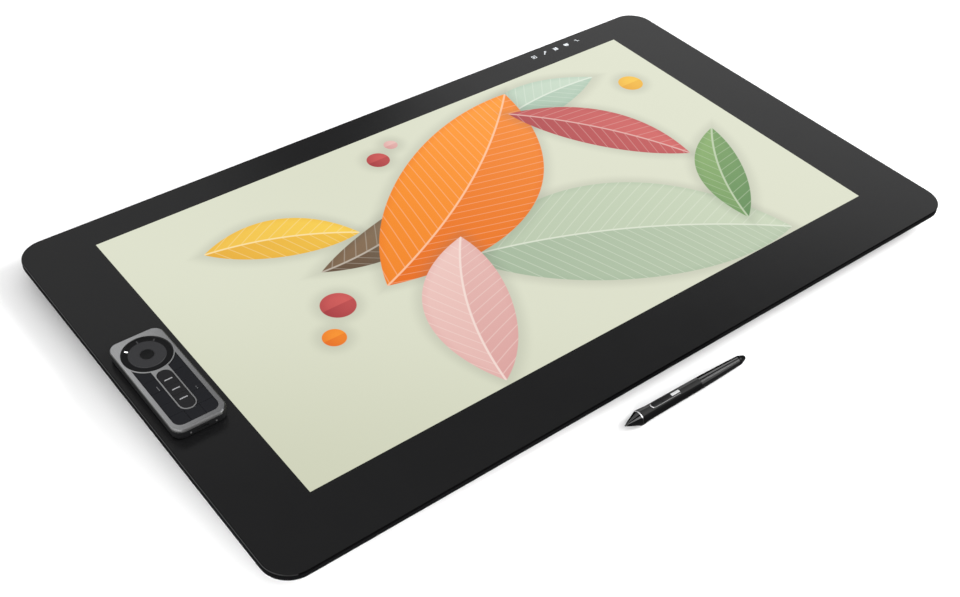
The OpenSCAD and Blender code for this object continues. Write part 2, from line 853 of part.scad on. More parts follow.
module fan_rotor() {
    hub = fan_d * 0.22;
    high = fan_h - fan_plate - 2 * fan_gap;
    color([0.15, 0.15, 0.16])
        translate([0, 0, fan_z + fan_gap])
            difference() {
                union() {
                    cylinder(r = hub, h = high);
                    for (i = [0:blades - 1])
                        rotate([0, 0, i * 360 / blades])
                            translate([0, 0, 0.4])
                                linear_extrude(height = high - 0.8)
                                    fan_blade(hub);
                }
                translate([0, 0, -1])
                    cylinder(d = spindle_d + 2 * pin_gap, h = high + 2);
            }
}

module left_fan_rotor() {
    translate([-fan_x, fan_y, 0])
        fan_rotor();
}

module right_fan_rotor() {
    translate([fan_x, fan_y, 0])
        fan_rotor();
}

module touch_key_board() {
    color([0.1, 0.25, 0.3])
        translate([touch_x, touch_y, glass_z - touch_board_t])
            linear_extrude(height = touch_board_t)
                square([touch_l, touch_board_w], center = true);
}

module leg_pins() {
    color([0.75, 0.75, 0.77])
        for (s = [-1, 1])
            translate([s * leg_x, hinge_y, pin_z])
                rotate([0, 90, 0])
                    cylinder(d = pin_d, h = pin_l, center = true);
}

// The tip of a leg, rounded at its corners
module leg_tip() {
    translate([0, hinge_y - leg_l / 2 + leg_tip_r])
        rounded(leg_w, leg_l + 2 * leg_tip_r, leg_tip_r);
}

module leg() {
    cut = hinge_y - leg_l + leg_foot_l;
    tongue = leg_t / 3;
    bay = (leg_w - 4 * leg_rib) / 3;
    reach = leg_l - leg_foot_l - leg_t - 3 * leg_rib;
    color([0.14, 0.14, 0.15])
        difference() {
            union() {
                translate([-leg_w / 2, cut, leg_recess])
                    cube([leg_w, leg_l - leg_foot_l, leg_t]);
                translate([-leg_w / 2 + leg_tip_r, cut - leg_foot_l / 2, leg_recess + tongue])
                    cube([leg_w - 2 * leg_tip_r, leg_foot_l, tongue]);
                translate([0, hinge_y, pin_z])
                    rotate([0, 90, 0])
                        cylinder(r = knuckle_r, h = leg_w, center = true);
            }
            translate([0, hinge_y, pin_z])
                rotate([0, 90, 0])
                    cylinder(d = pin_d + 2 * pin_gap, h = leg_w + 2, center = true);
            for (i = [-1:1], j = [0, 1])
                translate([i * (bay + leg_rib) - bay / 2, cut + leg_rib + j * (reach / 2 + leg_rib / 2),
                    leg_recess + leg_t / 2])
                    cube([bay, reach / 2 - leg_rib / 2, leg_t]);
        }
}

module leg_foot() {
    cut = hinge_y - leg_l + leg_foot_l;
    tongue = leg_t / 3;
    color([0.05, 0.05, 0.05])
        difference() {
            translate([0, 0, leg_recess])
                linear_extrude(height = leg_t)
                    intersection() {
                        leg_tip();
                        translate([-leg_w, cut - leg_foot_l])
                            square([2 * leg_w, leg_foot_l]);
                    }
            translate([-leg_w / 2 + leg_tip_r, cut - leg_foot_l / 2, leg_recess + tongue])
                cube([leg_w - 2 * leg_tip_r, leg_foot_l, tongue]);
        }
}

module left_leg() {
    translate([-leg_x, 0, 0])
        leg();
}

module left_leg_foot() {
    translate([-leg_x, 0, 0])
        leg_foot();
}

module right_leg() {
    translate([leg_x, 0, 0])
        leg();
}

module right_leg_foot() {
    translate([leg_x, 0, 0])
        leg_foot();
}

module rubber_feet() {
    color([0.06, 0.06, 0.06])
        for (x = [-1, 1], y = [-1, 1])
            translate([x * (block_w / 2 - foot_edge), y * (block_d / 2 - foot_edge), 0])
                rotate_extrude()
                    polygon([
                        [0, -foot_proud],
                        [foot_d / 2 - 0.6, -foot_proud],
                        [foot_d / 2, 0.6 - foot_proud],
                        [foot_d / 2, foot_seat],
                        [0, foot_seat]
                    ]);
}

module cover_screws() {
    color([0.3, 0.3, 0.31])
        for (p = screw_at)
            translate([p[0], p[1], wing_z])
                difference() {
                    union() {
                        translate([0, 0, -screw_head_h])
                            cylinder(d1 = screw_head_d - 1, d2 = screw_head_d, h = screw_head_h);
                        cylinder(d = screw_d, h = cover_wall + chassis_t);
                    }
                    for (a = [0, 90])
                        rotate([0, 0, a])
                            translate([0, 0, -screw_head_h])
                                cube([screw_head_d * 0.6, screw_slot, screw_head_h], center = true);
                }
}

module mount_inserts() {
    color([0.8, 0.65, 0.3])
        for (x = [-1, 1], y = [-1, 1])
            translate([x * mount_pitch / 2, y * mount_pitch / 2, 0])
                difference() {
                    cylinder(d = insert_d, h = insert_l);
                    translate([0, 0, -1])
                        cylinder(d = mount_thread, h = insert_l);
                }
}

// Everything on the remote is placed from its own middle
module at_remote() {
    translate([remote_x, remote_y, 0])
        children();
}

module remote_pads() {
    color([0.06, 0.06, 0.06])
        at_remote()
            for (x = [-1, 1], y = [-1, 1])
                translate([x * (remote_w / 2 - remote_r), y * (remote_l / 2 - remote_r), tablet_h])
                    cylinder(d = pad_d, h = pad_t);
}

module remote_base() {
    inner = base_wall + 1;
    color([0.07, 0.07, 0.08])
        at_remote()
            difference() {
                moulded(remote_w, remote_l, remote_r, [
                    [2.2, base_z],
                    [1.1, base_z + 0.5],
                    [0.5, base_z + 1.4],
                    [0.15, base_z + 3.2],
                    [0, deck_z],
                    [0, split_z]
                ]);
                plate(remote_w - 2 * inner, remote_l - 2 * inner, remote_r - inner,
                    base_z + base_floor, base_h);
                plate(remote_w - 2 * base_wall, remote_l - 2 * base_wall, remote_r - base_wall,
                    deck_z - remote_board_t, base_h);
                translate([0, -remote_l / 2, base_z + slot_up])
                    rotate([90, 0, 0])
                        linear_extrude(height = 2 * inner + 2, center = true)
                            rotate([0, 0, 90])
                                slot(slot_h, slot_w);
            }
    color([0.6, 0.6, 0.6])
        at_remote()
            for (x = [-stud_x, stud_x])
                translate([x, -remote_l / 2 - stud_proud, base_z + slot_up])
                    rotate([-90, 0, 0])
                        cylinder(d = stud_d, h = base_wall);
}

module remote_board() {
    in = base_wall + seat_gap;
    color([0.08, 0.3, 0.18])
        at_remote() {
            plate(remote_w - 2 * in, remote_l - 2 * in, remote_r - in,
                deck_z - remote_board_t, remote_board_t);
            translate([0, -remote_l / 2 + base_wall + 1 + seat_gap, base_z + slot_up])
                translate([-slot_w / 2, 0, -slot_h / 2])
                    cube([slot_w, 6, deck_z - base_z - slot_up + slot_h / 2 - remote_board_t / 2]);
        }
}

module remote_battery() {
    color([0.7, 0.7, 0.72])
        at_remote()
            translate([-cell_w / 2, -cell_l / 2, base_z + base_floor])
                cube([cell_w, cell_l, base_h - base_floor - remote_board_t - 0.3]);
}

// Outline of the centre key column, grown or shrunk
module pill(grow) {
    translate([0, -pill_front])
        slot(pill_w + 2 * grow, pill_l + 2 * grow);
}

// Outline of the outer keys round the centre column, grown or shrunk
module surround(grow) {
    top = ring_y;
    rim = pill_in - grow;
    difference() {
        translate([0, (front_y + top) / 2])
            rounded(2 * (side_x + grow), top - front_y + 2 * grow, key_r + grow);
        translate([0, ring_y])
            circle(ring_r + pill_rim - grow);
        translate([0, -pill_front])
            slot(2 * rim, pill_l + 2 * (pill_rim - grow));
        translate([-rim, -pill_front])
            square([2 * rim, ring_y + pill_front]);
    }
}

module remote_frame() {
    skirt = base_wall;
    turn = [for (a = [0:22.5:90]) [frame_round * (1 - cos(a)), face_z - frame_round * (1 - sin(a))]];
    color([0.62, 0.62, 0.63])
        at_remote()
            difference() {
                moulded(remote_w, remote_l, remote_r, concat([[0, split_z]], turn));
                plate(remote_w - 2 * skirt, remote_l - 2 * skirt, remote_r - skirt,
                    deck_z - 1, frame_h - face_t + 1);
                translate([0, 0, deck_z])
                    linear_extrude(height = frame_h + 1) {
                        pill(0);
                        surround(0);
                        translate([0, ring_y])
                            circle(ring_r);
                    }
            }
}

module touch_ring() {
    out = ring_r - ring_gap;
    hole = hub_d / 2 + key_gap;
    color([0.2, 0.2, 0.21])
        at_remote()
            difference() {
                translate([0, ring_y, 0])
                    rotate_extrude()
                        polygon([
                            [hole, deck_z],
                            [hole, ring_face - 0.3],
                            [hole + 2, ring_face - 0.5],
                            [ring_mid_r - 2, ring_face - 0.3],
                            [ring_mid_r, ring_face],
                            [ring_mid_r + 0.5, ring_face - band_low],
                            [out - 1, ring_face - band_low],
                            [out, ring_face],
                            [out, deck_z]
                        ]);
                ring_light_shapes(seat_gap, 1);
            }
}

module ring_light_shapes(grow, over) {
    for (a = [45, 90, 135])
        translate([0, ring_y, ring_face - band_low - light_h - grow])
            rotate([0, 0, a])
                translate([light_r - light_l / 2 - grow, -light_w / 2 - grow, 0])
                    cube([light_l + 2 * grow, light_w + 2 * grow, light_h + grow + over]);
}

module ring_lights() {
    color([0.95, 0.95, 0.95])
        at_remote()
            ring_light_shapes(0, 0);
}

module ring_button() {
    color([0.08, 0.08, 0.09])
        at_remote()
            translate([0, ring_y, 0])
                rotate_extrude()
                    polygon([
                        [0, flange_z - flange_t],
                        [hub_d / 2, flange_z - flange_t],
                        [hub_d / 2, ring_face - 0.4],
                        [hub_d / 2 - 0.4, ring_face - 0.1],
                        [hub_d / 4, ring_face - 0.5],
                        [0, ring_face - 0.6]
                    ]);
}

// A key: its cap in the frame, and a flange that holds it under the face
module mid_key(i) {
    half = key_gap / 2;
    hi = i == 1 ? pill_l : mid_pitch * (2.5 - i);
    lo = i == 3 ? -pill_l : mid_pitch * (1.5 - i);
    color([0.16, 0.16, 0.17])
        at_remote() {
            translate([0, 0, flange_z - flange_t])
                linear_extrude(height = flange_t)
                    mid_cut(lo + half, hi - half, key_flange - key_gap);
            translate([0, 0, flange_z - flange_t])
                linear_extrude(height = key_top - flange_z + flange_t)
                    mid_cut(lo + half, hi - half, -key_gap);
            translate([-bar_l / 2, -pill_front + mid_pitch * (2 - i) - bar_w / 2, key_top - bar_h])
                cube([bar_l, bar_w, 2 * bar_h]);
        }
}

module mid_cut(lo, hi, grow) {
    intersection() {
        pill(grow);
        translate([-pill_w, lo - pill_front])
            square([2 * pill_w, hi - lo]);
    }
}

module mid_key_1() {
    mid_key(1);
}

module mid_key_2() {
    mid_key(2);
}

module mid_key_3() {
    mid_key(3);
}

// An outer key is the part of the surround inside one box
module outer_key(x0, x1, y0, y1) {
    half = key_gap / 2;
    color([0.14, 0.14, 0.15])
        at_remote() {
            translate([0, 0, flange_z - flange_t])
                linear_extrude(height = flange_t)
                    outer_cut(x0 + half, x1 - half, y0 + half, y1 - half, key_flange - key_gap);
            translate([0, 0, flange_z - flange_t])
                linear_extrude(height = key_top - flange_z + flange_t)
                    outer_cut(x0 + half, x1 - half, y0 + half, y1 - half, -key_gap);
        }
}

module outer_cut(x0, x1, y0, y1, grow) {
    intersection() {
        surround(grow);
        translate([x0, y0])
            square([x1 - x0, y1 - y0]);
    }
}

module side_key(side, i) {
    hi = i == 1 ? ring_y : column_top - (i - 1) * column_pitch;
    lo = column_top - i * column_pitch;
    outer_key(side > 0 ? 0 : -remote_w, side > 0 ? remote_w : 0, lo, hi);
}

module left_key_1() {
    side_key(-1, 1);
}

module left_key_2() {
    side_key(-1, 2);
    color([0.2, 0.2, 0.21])
        at_remote()
            translate([-mark_x - mark_w / 2, column_top - 2 * column_pitch + mark_w, key_top - mark_h])
                cube([mark_w, mark_l, 2 * mark_h]);
}

module left_key_3() {
    side_key(-1, 3);
}

module left_key_4() {
    side_key(-1, 4);
}

module right_key_1() {
    side_key(1, 1);
}

module right_key_2() {
    side_key(1, 2);
}

module right_key_3() {
    side_key(1, 3);
    color([0.2, 0.2, 0.21])
        at_remote()
            for (i = [0, 1])
                translate([dots_x, column_top - 3 * column_pitch + 1.4 * mark_w + i * dots_gap, key_top - mark_h])
                    cylinder(d = mark_w + 0.3, h = 2 * mark_h);
}

module right_key_4() {
    side_key(1, 4);
}

module low_key_1() {
    outer_key(-remote_w, -side_x / 3, -remote_l, low_y);
}

module low_key_2() {
    outer_key(-side_x / 3, side_x / 3, -remote_l, low_y);
}

module low_key_3() {
    outer_key(side_x / 3, remote_w, -remote_l, low_y);
}

// The pen lies on its swell and on the rear of its grip, nib to the left
module at_pen() {
    translate([pen_x, pen_y, pen_z])
        rotate([0, pen_lean, 0])
            children();
}

// Solid turned about the pen's axis from [radius, distance] points
module turned(points) {
    rotate([0, 90, 0])
        rotate_extrude()
            polygon(points);
}

// Outline that is round at the nib end and square at the tail end
module bullet(from, to, w) {
    translate([from + w / 2, -w / 2])
        square([to - from - w / 2, w]);
    translate([from + w / 2, 0])
        circle(d = w);
}

module switch_outline(grow) {
    bullet(switch_from - grow, switch_from + switch_l + grow, switch_w + 2 * grow);
}

module rocker_outline(grow) {
    bullet(rocker_from - grow, rocker_to + grow, switch_w - 2 * switch_rim + 2 * grow);
}

module switch_slot() {
    linear_extrude(height = 2 * collar_r)
        switch_outline(seat_gap);
}

module pen_barrel() {
    sleeve = [for (p = grip_line) [p[0] - grip_t - seat_gap, p[1]]];
    color([0.1, 0.1, 0.11])
        at_pen()
            difference() {
                turned(concat(
                    [[0, grip_at]],
                    sleeve,
                    [[grip_rear_r, grip_end]],
                    tail_line,
                    [[0, tail_at]]
                ));
                rotate([0, 90, 0])
                    cylinder(r = bore_r, h = core_to + seat_gap);
                translate([tail_at - 8, 0, 0])
                    rotate([0, 90, 0])
                        cylinder(r = stem_r + pen_gap, h = 20);
                switch_slot();
            }
}

module pen_grip() {
    inside = [for (i = [len(grip_line) - 1:-1:0]) [grip_line[i][0] - grip_t, grip_line[i][1]]];
    color([0.08, 0.08, 0.08])
        at_pen()
            difference() {
                turned(concat(grip_line, inside));
                switch_slot();
            }
}

module pen_collar() {
    color([0.75, 0.75, 0.76])
        at_pen()
            turned([
                [bore_r, collar_at],
                [collar_r - 0.2, collar_at],
                [collar_r, collar_at + 0.3],
                [collar_r, grip_at - 0.3],
                [collar_r - 0.2, grip_at],
                [bore_r, grip_at]
            ]);
}

module pen_nose() {
    slide = nib_d / 2 + pen_gap;
    color([0.09, 0.09, 0.1])
        at_pen()
            turned([
                [slide, nib_out],
                [nose_r - 0.2, nib_out],
                [nose_r, nib_out + 0.4],
                [collar_r - 0.3, collar_at],
                [bore_r, collar_at],
                [bore_r, collar_at - 4],
                [slide, collar_at - 7]
            ]);
}

module pen_nib() {
    color([0.12, 0.12, 0.12])
        at_pen()
            turned([
                [0, 0],
                [0.45, 0.12],
                [0.8, 0.9],
                [nib_d / 2, nib_out - 0.6],
                [nib_d / 2, core_from + 6],
                [0, core_from + 6]
            ]);
}

module pen_core() {
    color([0.7, 0.4, 0.15])
        at_pen()
            difference() {
                turned([
                    [0, core_from],
                    [core_r - 0.6, core_from],
                    [core_r, core_from + 1],
                    [core_r, core_to],
                    [0, core_to]
                ]);
                translate([core_from - 1, 0, 0])
                    rotate([0, 90, 0])
                        cylinder(d = nib_d + 2 * pen_gap, h = 9);
            }
}

module pen_switch_frame() {
    over = [for (p = grip_line) [p[0] + switch_proud, p[1]]];
    color([0.72, 0.72, 0.73])
        at_pen()
            difference() {
                intersection() {
                    translate([0, 0, bore_r + 0.05])
                        linear_extrude(height = collar_r)
                            switch_outline(-seat_gap);
                    turned(concat([[0, grip_at]], over, [[0, grip_end]]));
                }
                linear_extrude(height = 2 * collar_r)
                    rocker_outline(pen_gap);
                translate([rocker_u, 0, pivot_z])
                    rotate([90, 0, 0])
                        cylinder(d = pivot_d + 2 * pin_gap, h = switch_w + 2, center = true);
                for (side = [-1, 1])
                    translate([rocker_to, side * (plate_w + groove_w) / 2 - groove_w / 2,
                        grip_radius(rocker_to) - groove_t])
                        cube([plate_l - switch_rim, groove_w, collar_r]);
            }
}

module pen_rocker() {
    over = [for (p = grip_line) [p[0] + rocker_proud, p[1]]];
    color([0.12, 0.12, 0.13])
        at_pen() {
            difference() {
                intersection() {
                    translate([0, 0, pivot_z - 0.5])
                        linear_extrude(height = collar_r)
                            rocker_outline(-pen_gap);
                    turned(concat([[0, grip_at]], over, [[0, grip_end]]));
                }
                translate([rocker_u, 0, grip_radius(rocker_u) + rocker_proud])
                    rotate([90, 0, 0])
                        cylinder(d = 2.4, h = switch_w + 2, center = true);
            }
            translate([rocker_u, 0, pivot_z])
                rotate([90, 0, 0])
                    cylinder(d = pivot_d, h = switch_w - 2 * pin_gap, center = true);
        }
}

module pen_tail_button() {
    from = pen_l - tail_l;
    color([0.1, 0.1, 0.11])
        at_pen()
            turned([
                [0, tail_at - 6],
                [stem_r, tail_at - 6],
                [stem_r, from],
                [tail_r - 0.2, from],
                [tail_r, from + 0.3],
                [tail_r - 0.1, from + 2],
                [tail_tip_r, pen_l - 1.4],
                [tail_tip_r - 0.6, pen_l - 0.5],
                [tail_tip_r - 1.4, pen_l],
                [0, pen_l]
            ]);
}

cover_glass();
glass_seal();
side_frame();
rear_cover();
lcd_panel();
diffuser_sheets();
light_guide();
lamp_bar();
backlight_tray();
pen_sensor_board();
sensor_shield();
chassis_plate();
main_board();
power_board();
heat_sink();
connectors();
fan_frames();
touch_key_board();
leg_pins();
rubber_feet();
cover_screws();
mount_inserts();
left_leg();
left_leg_foot();
right_leg();
right_leg_foot();
left_fan_rotor();
right_fan_rotor();
power_button();
remote_base();
remote_frame();
touch_ring();
ring_lights();
remote_board();
remote_battery();
remote_pads();
ring_button();
mid_key_1();
mid_key_2();
mid_key_3();
left_key_1();
left_key_2();
left_key_3();
left_key_4();
right_key_1();
right_key_2();
right_key_3();
right_key_4();
low_key_1();
low_key_2();
low_key_3();
pen_barrel();
pen_grip();
pen_nose();
pen_collar();
pen_switch_frame();
pen_core();
pen_nib();
pen_rocker();
pen_tail_button();
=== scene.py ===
import json
import math

import bmesh
import bpy
from mathutils import Matrix, Vector

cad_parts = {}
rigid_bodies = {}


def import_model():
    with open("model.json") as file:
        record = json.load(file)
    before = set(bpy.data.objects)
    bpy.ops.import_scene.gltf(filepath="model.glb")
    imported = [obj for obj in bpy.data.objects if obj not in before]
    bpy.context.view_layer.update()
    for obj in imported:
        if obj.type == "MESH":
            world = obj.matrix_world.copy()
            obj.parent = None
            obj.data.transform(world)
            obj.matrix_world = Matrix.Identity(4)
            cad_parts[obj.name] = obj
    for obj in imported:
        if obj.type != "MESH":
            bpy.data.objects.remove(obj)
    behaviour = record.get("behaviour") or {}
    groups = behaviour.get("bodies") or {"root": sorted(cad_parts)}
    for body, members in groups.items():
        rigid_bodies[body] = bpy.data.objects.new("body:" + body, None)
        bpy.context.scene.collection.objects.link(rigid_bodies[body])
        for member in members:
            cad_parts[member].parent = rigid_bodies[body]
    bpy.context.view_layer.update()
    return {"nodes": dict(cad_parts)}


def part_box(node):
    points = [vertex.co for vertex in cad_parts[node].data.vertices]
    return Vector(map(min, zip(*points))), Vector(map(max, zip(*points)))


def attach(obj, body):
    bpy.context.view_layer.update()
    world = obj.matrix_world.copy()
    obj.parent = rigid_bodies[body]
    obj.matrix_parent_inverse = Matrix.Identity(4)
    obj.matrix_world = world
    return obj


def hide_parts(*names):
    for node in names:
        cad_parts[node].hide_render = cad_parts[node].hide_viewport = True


for thing in list(bpy.data.objects):
    bpy.data.objects.remove(thing)
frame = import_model()
scene = bpy.context.scene


# Camera: the photograph's view, from above the front left corner of the tablet.
# Its place, turn and lens were solved from the outlines of the glass and of the lit picture.
eye_place = Vector((-0.71046, -0.81580, 0.88634))
eye_right = Vector((0.7865, -0.6163, 0.0395)).normalized()
eye_away = Vector((-0.4811, -0.5714, 0.6648))
eye_back = (eye_away - eye_right * eye_away.dot(eye_right)).normalized()
eye_up = eye_back.cross(eye_right)
eye_turn = Matrix((eye_right, eye_up, eye_back)).transposed().to_4x4()
eye = bpy.data.objects.new("camera", bpy.data.cameras.new("camera"))
scene.collection.objects.link(eye)
eye.matrix_world = Matrix.Translation(eye_place) @ eye_turn
eye.data.sensor_width = 36
eye.data.lens = 49.51
eye.data.clip_start = 0.05
scene.camera = eye
scene.view_settings.view_transform = "Standard"


# Floor: a wide pale sheet under the rubber feet, which keeps the soft shadows of the tablet and the pen.
# The camera sees it nearly white, and the light that bounces off it is that of a grey sheet.
def fill(socket, value):
    """Gives a node's socket a value or another node's output. None leaves it as it is."""
    if isinstance(value, bpy.types.NodeSocket):
        socket.id_data.links.new(value, socket)
    elif value is not None:
        socket.default_value = value


def feed(shader, **sockets):
    """Fills a shader's sockets by their names, with underscores for spaces."""
    for name, value in sockets.items():
        fill(shader.inputs[name.replace("_", " ")], value)


def add(tree, kind, *inputs, **props):
    """A shader node, with its sockets filled in their order."""
    made = tree.nodes.new("ShaderNode" + kind)
    for key, value in props.items():
        setattr(made, key, value)
    for socket, value in zip(made.inputs, inputs):
        fill(socket, value)
    return made


def calc(tree, operation, *inputs, clamp=False):
    return add(tree, "Math", *inputs, operation=operation, use_clamp=clamp).outputs[0]


def mix(tree, share, one, other):
    """One colour, going over to the other by a share from 0 to 1."""
    made = add(tree, "Mix", share, data_type="RGBA", clamp_factor=True)
    fill(made.inputs[6], one)
    fill(made.inputs[7], other)
    return made.outputs[2]


def grey(tone):
    return (tone, tone, tone, 1)


def new_material(name):
    made = bpy.data.materials.new(name)
    made.use_nodes = True
    return made, made.node_tree, made.node_tree.nodes["Principled BSDF"]


def new_object(name, mesh, material):
    made = bpy.data.objects.new(name, mesh)
    scene.collection.objects.link(made)
    mesh.materials.append(material)
    return made


floor_half = 7.0
floor_seen, floor_bounce, floor_glow = 0.95, 0.22, 0.05
floor_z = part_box("rubber_feet")[0].z
corners = ((-1, -1), (1, -1), (1, 1), (-1, 1))
floor_mesh = bpy.data.meshes.new("floor")
floor_mesh.from_pydata([(x * floor_half, y * floor_half, floor_z) for x, y in corners], [], [(0, 1, 2, 3)])
floor_white, tree, shader = new_material("floor_white")
camera_ray = add(tree, "LightPath").outputs["Is Camera Ray"]
feed(shader, Base_Color=mix(tree, camera_ray, grey(floor_bounce), grey(floor_seen)), Roughness=0.9,
     Specular_IOR_Level=0.0, Emission_Color=grey(1),
     Emission_Strength=calc(tree, "MULTIPLY", camera_ray, floor_glow))
new_object("floor", floor_mesh, floor_white)


# Light: a white room, dim in reflections but for its left wall, and five soft boxes.
# The back boxes lay the sheen on the glass, the key box throws the shadow to the left, the front box draws
# a streak on the pen, and the corner box, hidden from reflections, thins the shadow at the front left.
room_dim, wall_bright, wall_from, wall_to = 0.11, 2.0, -0.05, -0.5
sky_level, sky_east, sky_north = 0.95, 0.2, -0.5
room = bpy.data.worlds.new("room")
scene.world = room
room.use_nodes = True
tree = room.node_tree
rays = add(tree, "LightPath").outputs
east, north, _ = add(tree, "SeparateXYZ", add(tree, "TexCoord").outputs["Generated"]).outputs
mirrored = add(tree, "MapRange", east, wall_from, wall_to, room_dim, wall_bright,
               interpolation_type="SMOOTHSTEP").outputs[0]
open_sky = calc(tree, "MULTIPLY_ADD", north, sky_north, calc(tree, "MULTIPLY_ADD", east, sky_east, sky_level))
unlike = calc(tree, "SUBTRACT", mirrored, open_sky)
level = calc(tree, "MULTIPLY_ADD", rays["Is Glossy Ray"], unlike, open_sky)
feed(tree.nodes["Background"], Color=grey(1), Strength=calc(tree, "MAXIMUM", level, rays["Is Camera Ray"]))


def soft_box(name, place, aim, width, height, power, spread=180):
    """A lamp with a lit rectangle, in metres and watts, turned towards its aim."""
    lamp = bpy.data.lights.new(name, "AREA")
    lamp.shape = "RECTANGLE"
    lamp.size = width
    lamp.size_y = height
    lamp.energy = power
    lamp.spread = math.radians(spread)
    made = bpy.data.objects.new(name, lamp)
    scene.collection.objects.link(made)
    made.location = place
    made.rotation_mode = "QUATERNION"
    made.rotation_quaternion = (Vector(aim) - Vector(place)).to_track_quat("-Z", "Y")
    return made


tablet_middle, beside_pen, front_left = (0, 0, 0), (-0.07, -0.27, 0), (-0.45, -0.36, 0)
soft_box("back_right_box", (2.71, 1.83, 1.25), tablet_middle, 2.5, 2.0, 9)
soft_box("back_left_box", (0.36, 2.75, 2.1), tablet_middle, 1.5, 1.5, 2.2)
soft_box("key_box", (2.09, -1.11, 1.85), tablet_middle, 1.2, 1.2, 60)
soft_box("front_box", (0.89, -1.69, 1.03), beside_pen, 1.0, 1.0, 5.5)
corner_box = soft_box("corner_box", (-1.33, -1.25, 0.8), front_left, 0.4, 0.4, 0.75, spread=25)
corner_box.visible_glossy = False


# Cover glass: one sheet of glass over the whole top, with black print behind its border.
# Its face is etched to a satin against glare, and its rounded edge is ground matt all round but on the left.
# That ground edge is also near black and barely reflects, a painted shade that keeps the lamps' glint off it.
# The lit picture shows through its middle: a loose spray of leaves and berries on a cream ground, which is
# painted darker towards the front left corner, a painted shade.
def span(node):
    """A CAD node's lowest and highest corners, in millimetres."""
    return [corner * 1000 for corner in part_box(node)]


glass_from, glass_to = span("cover_glass")
glass_w, glass_d = glass_to.x - glass_from.x, glass_to.y - glass_from.y
glass_r, glass_round, front_share = 28.0, 0.95, 0.3
view_w, view_d, view_y = 707.5, 398.0, 13.7


def outline(w, d, r, steps):
    """Points of a rounded rectangle, anticlockwise."""
    points = []
    for x, y, start in ((1, 1, 0), (-1, 1, 90), (-1, -1, 180), (1, -1, 270)):
        for i in range(steps + 1):
            a = math.radians(start + 90 * i / steps)
            points.append((x * (w / 2 - r) + r * math.cos(a), y * (d / 2 - r) + r * math.sin(a)))
    return points


def frontness(y, d, r, run):
    """0 along the sides of a rounded rectangle, rising to 1 round its front corners."""
    return min(max((-y - d / 2 + r) / run, 0), 1)


def vertices(bm, points, at=(0, 0)):
    """New vertices at points given in millimetres."""
    return [bm.verts.new(((x + at[0]) / 1000, (y + at[1]) / 1000, z / 1000)) for x, y, z in points]


def skin(bm, loops):
    """The faces between each closed loop of vertices and the next."""
    n = len(loops[0])
    for low, high in zip(loops, loops[1:]):
        for i in range(n):
            bm.faces.new((low[i], low[(i + 1) % n], high[(i + 1) % n], high[i]))


def mesh_of(bm, name):
    mesh = bpy.data.meshes.new(name)
    bm.to_mesh(mesh)
    bm.free()
    return mesh


def shaped(made):
    """Smooth shading with weighted normals, parted at edges sharper than 35 degrees."""
    made.data.polygons.foreach_set("use_smooth", [True] * len(made.data.polygons))
    made.data.set_sharp_from_angle(angle=math.radians(35))
    made.modifiers.new("normals", "WEIGHTED_NORMAL").keep_sharp = True
    return made


quarter = [math.radians(a) for a in (0, 30, 60, 90)]
bend = [(glass_round * (1 - math.sin(a)), glass_round * (1 - math.cos(a))) for a in quarter]
levels = [(inset, glass_from.z + rise) for inset, rise in bend]
levels += [(inset, glass_to.z - rise) for inset, rise in reversed(bend)]
bm = bmesh.new()
loops = []
for inset, z in levels:
    ring = []
    for x, y in outline(glass_w - 2 * inset, glass_d - 2 * inset, glass_r - inset, 20):
        front = frontness(y, glass_d, glass_r, glass_r - inset)
        ring.append((x, y - front * inset * (1 - front_share), z))
    loops.append(vertices(bm, ring))
skin(bm, loops)
bm.faces.new(reversed(loops[0]))
bm.faces.new(loops[-1])
glass_mesh = mesh_of(bm, "cover_glass_sheet")


def effect(name, inputs, outputs):
    """An empty shader node group, with the sockets that bring its inputs and take its outputs."""
    group = bpy.data.node_groups.new(name, "ShaderNodeTree")
    for title, kind, value in inputs:
        fill(group.interface.new_socket(title, in_out="INPUT", socket_type="NodeSocket" + kind), value)
    for title, kind in outputs:
        group.interface.new_socket(title, in_out="OUTPUT", socket_type="NodeSocket" + kind)
    return group, group.nodes.new("NodeGroupInput").outputs, group.nodes.new("NodeGroupOutput").inputs


def use(tree, group, *inputs):
    """The outputs of one use of a shader node group."""
    made = tree.nodes.new("ShaderNodeGroup")
    made.node_tree = group
    for socket, value in zip(made.inputs, inputs):
        fill(socket, value)
    return made.outputs


def in_mm(tree):
    """The piece's own coordinates, in millimetres."""
    place = add(tree, "TexCoord").outputs["Object"]
    return add(tree, "VectorMath", place, (1000, 1000, 1000), operation="MULTIPLY").outputs[0]


def ramp(tree, value, start, end):
    """0 before the start, 1 past the end, smooth between them. The end may be the lower of the two."""
    return add(tree, "MapRange", value, start, end, interpolation_type="SMOOTHSTEP").outputs[0]


def rgb(*levels):
    """A colour as a display shows it, in levels from 0 to 255, as linear light."""
    shares = [level / 255 for level in levels]
    return tuple(v / 12.92 if v < 0.0404 else ((v + 0.055) / 1.055) ** 2.4 for v in shares) + (1,)


surface, given, gives = effect(
    "Surface",
    [("Place", "Vector", None), ("Stretch", "Vector", (1, 1, 1)), ("Fineness", "Float", 4.0),
     ("Depth", "Float", 2e-5)],
    [("Fine", "Float"), ("Patches", "Float"), ("Normal", "Vector")])
patch_fineness, bump_strength = 0.03, 0.6
stretched = add(surface, "VectorMath", given["Place"], given["Stretch"], operation="MULTIPLY").outputs[0]
fine = add(surface, "TexNoise", stretched, None, given["Fineness"], 3.0, 0.55).outputs["Fac"]
patches = add(surface, "TexNoise", given["Place"], None, patch_fineness, 2.0, 0.5).outputs["Fac"]
fill(gives["Fine"], fine)
fill(gives["Patches"], patches)
fill(gives["Normal"], add(surface, "Bump", bump_strength, given["Depth"], None, fine).outputs[0])


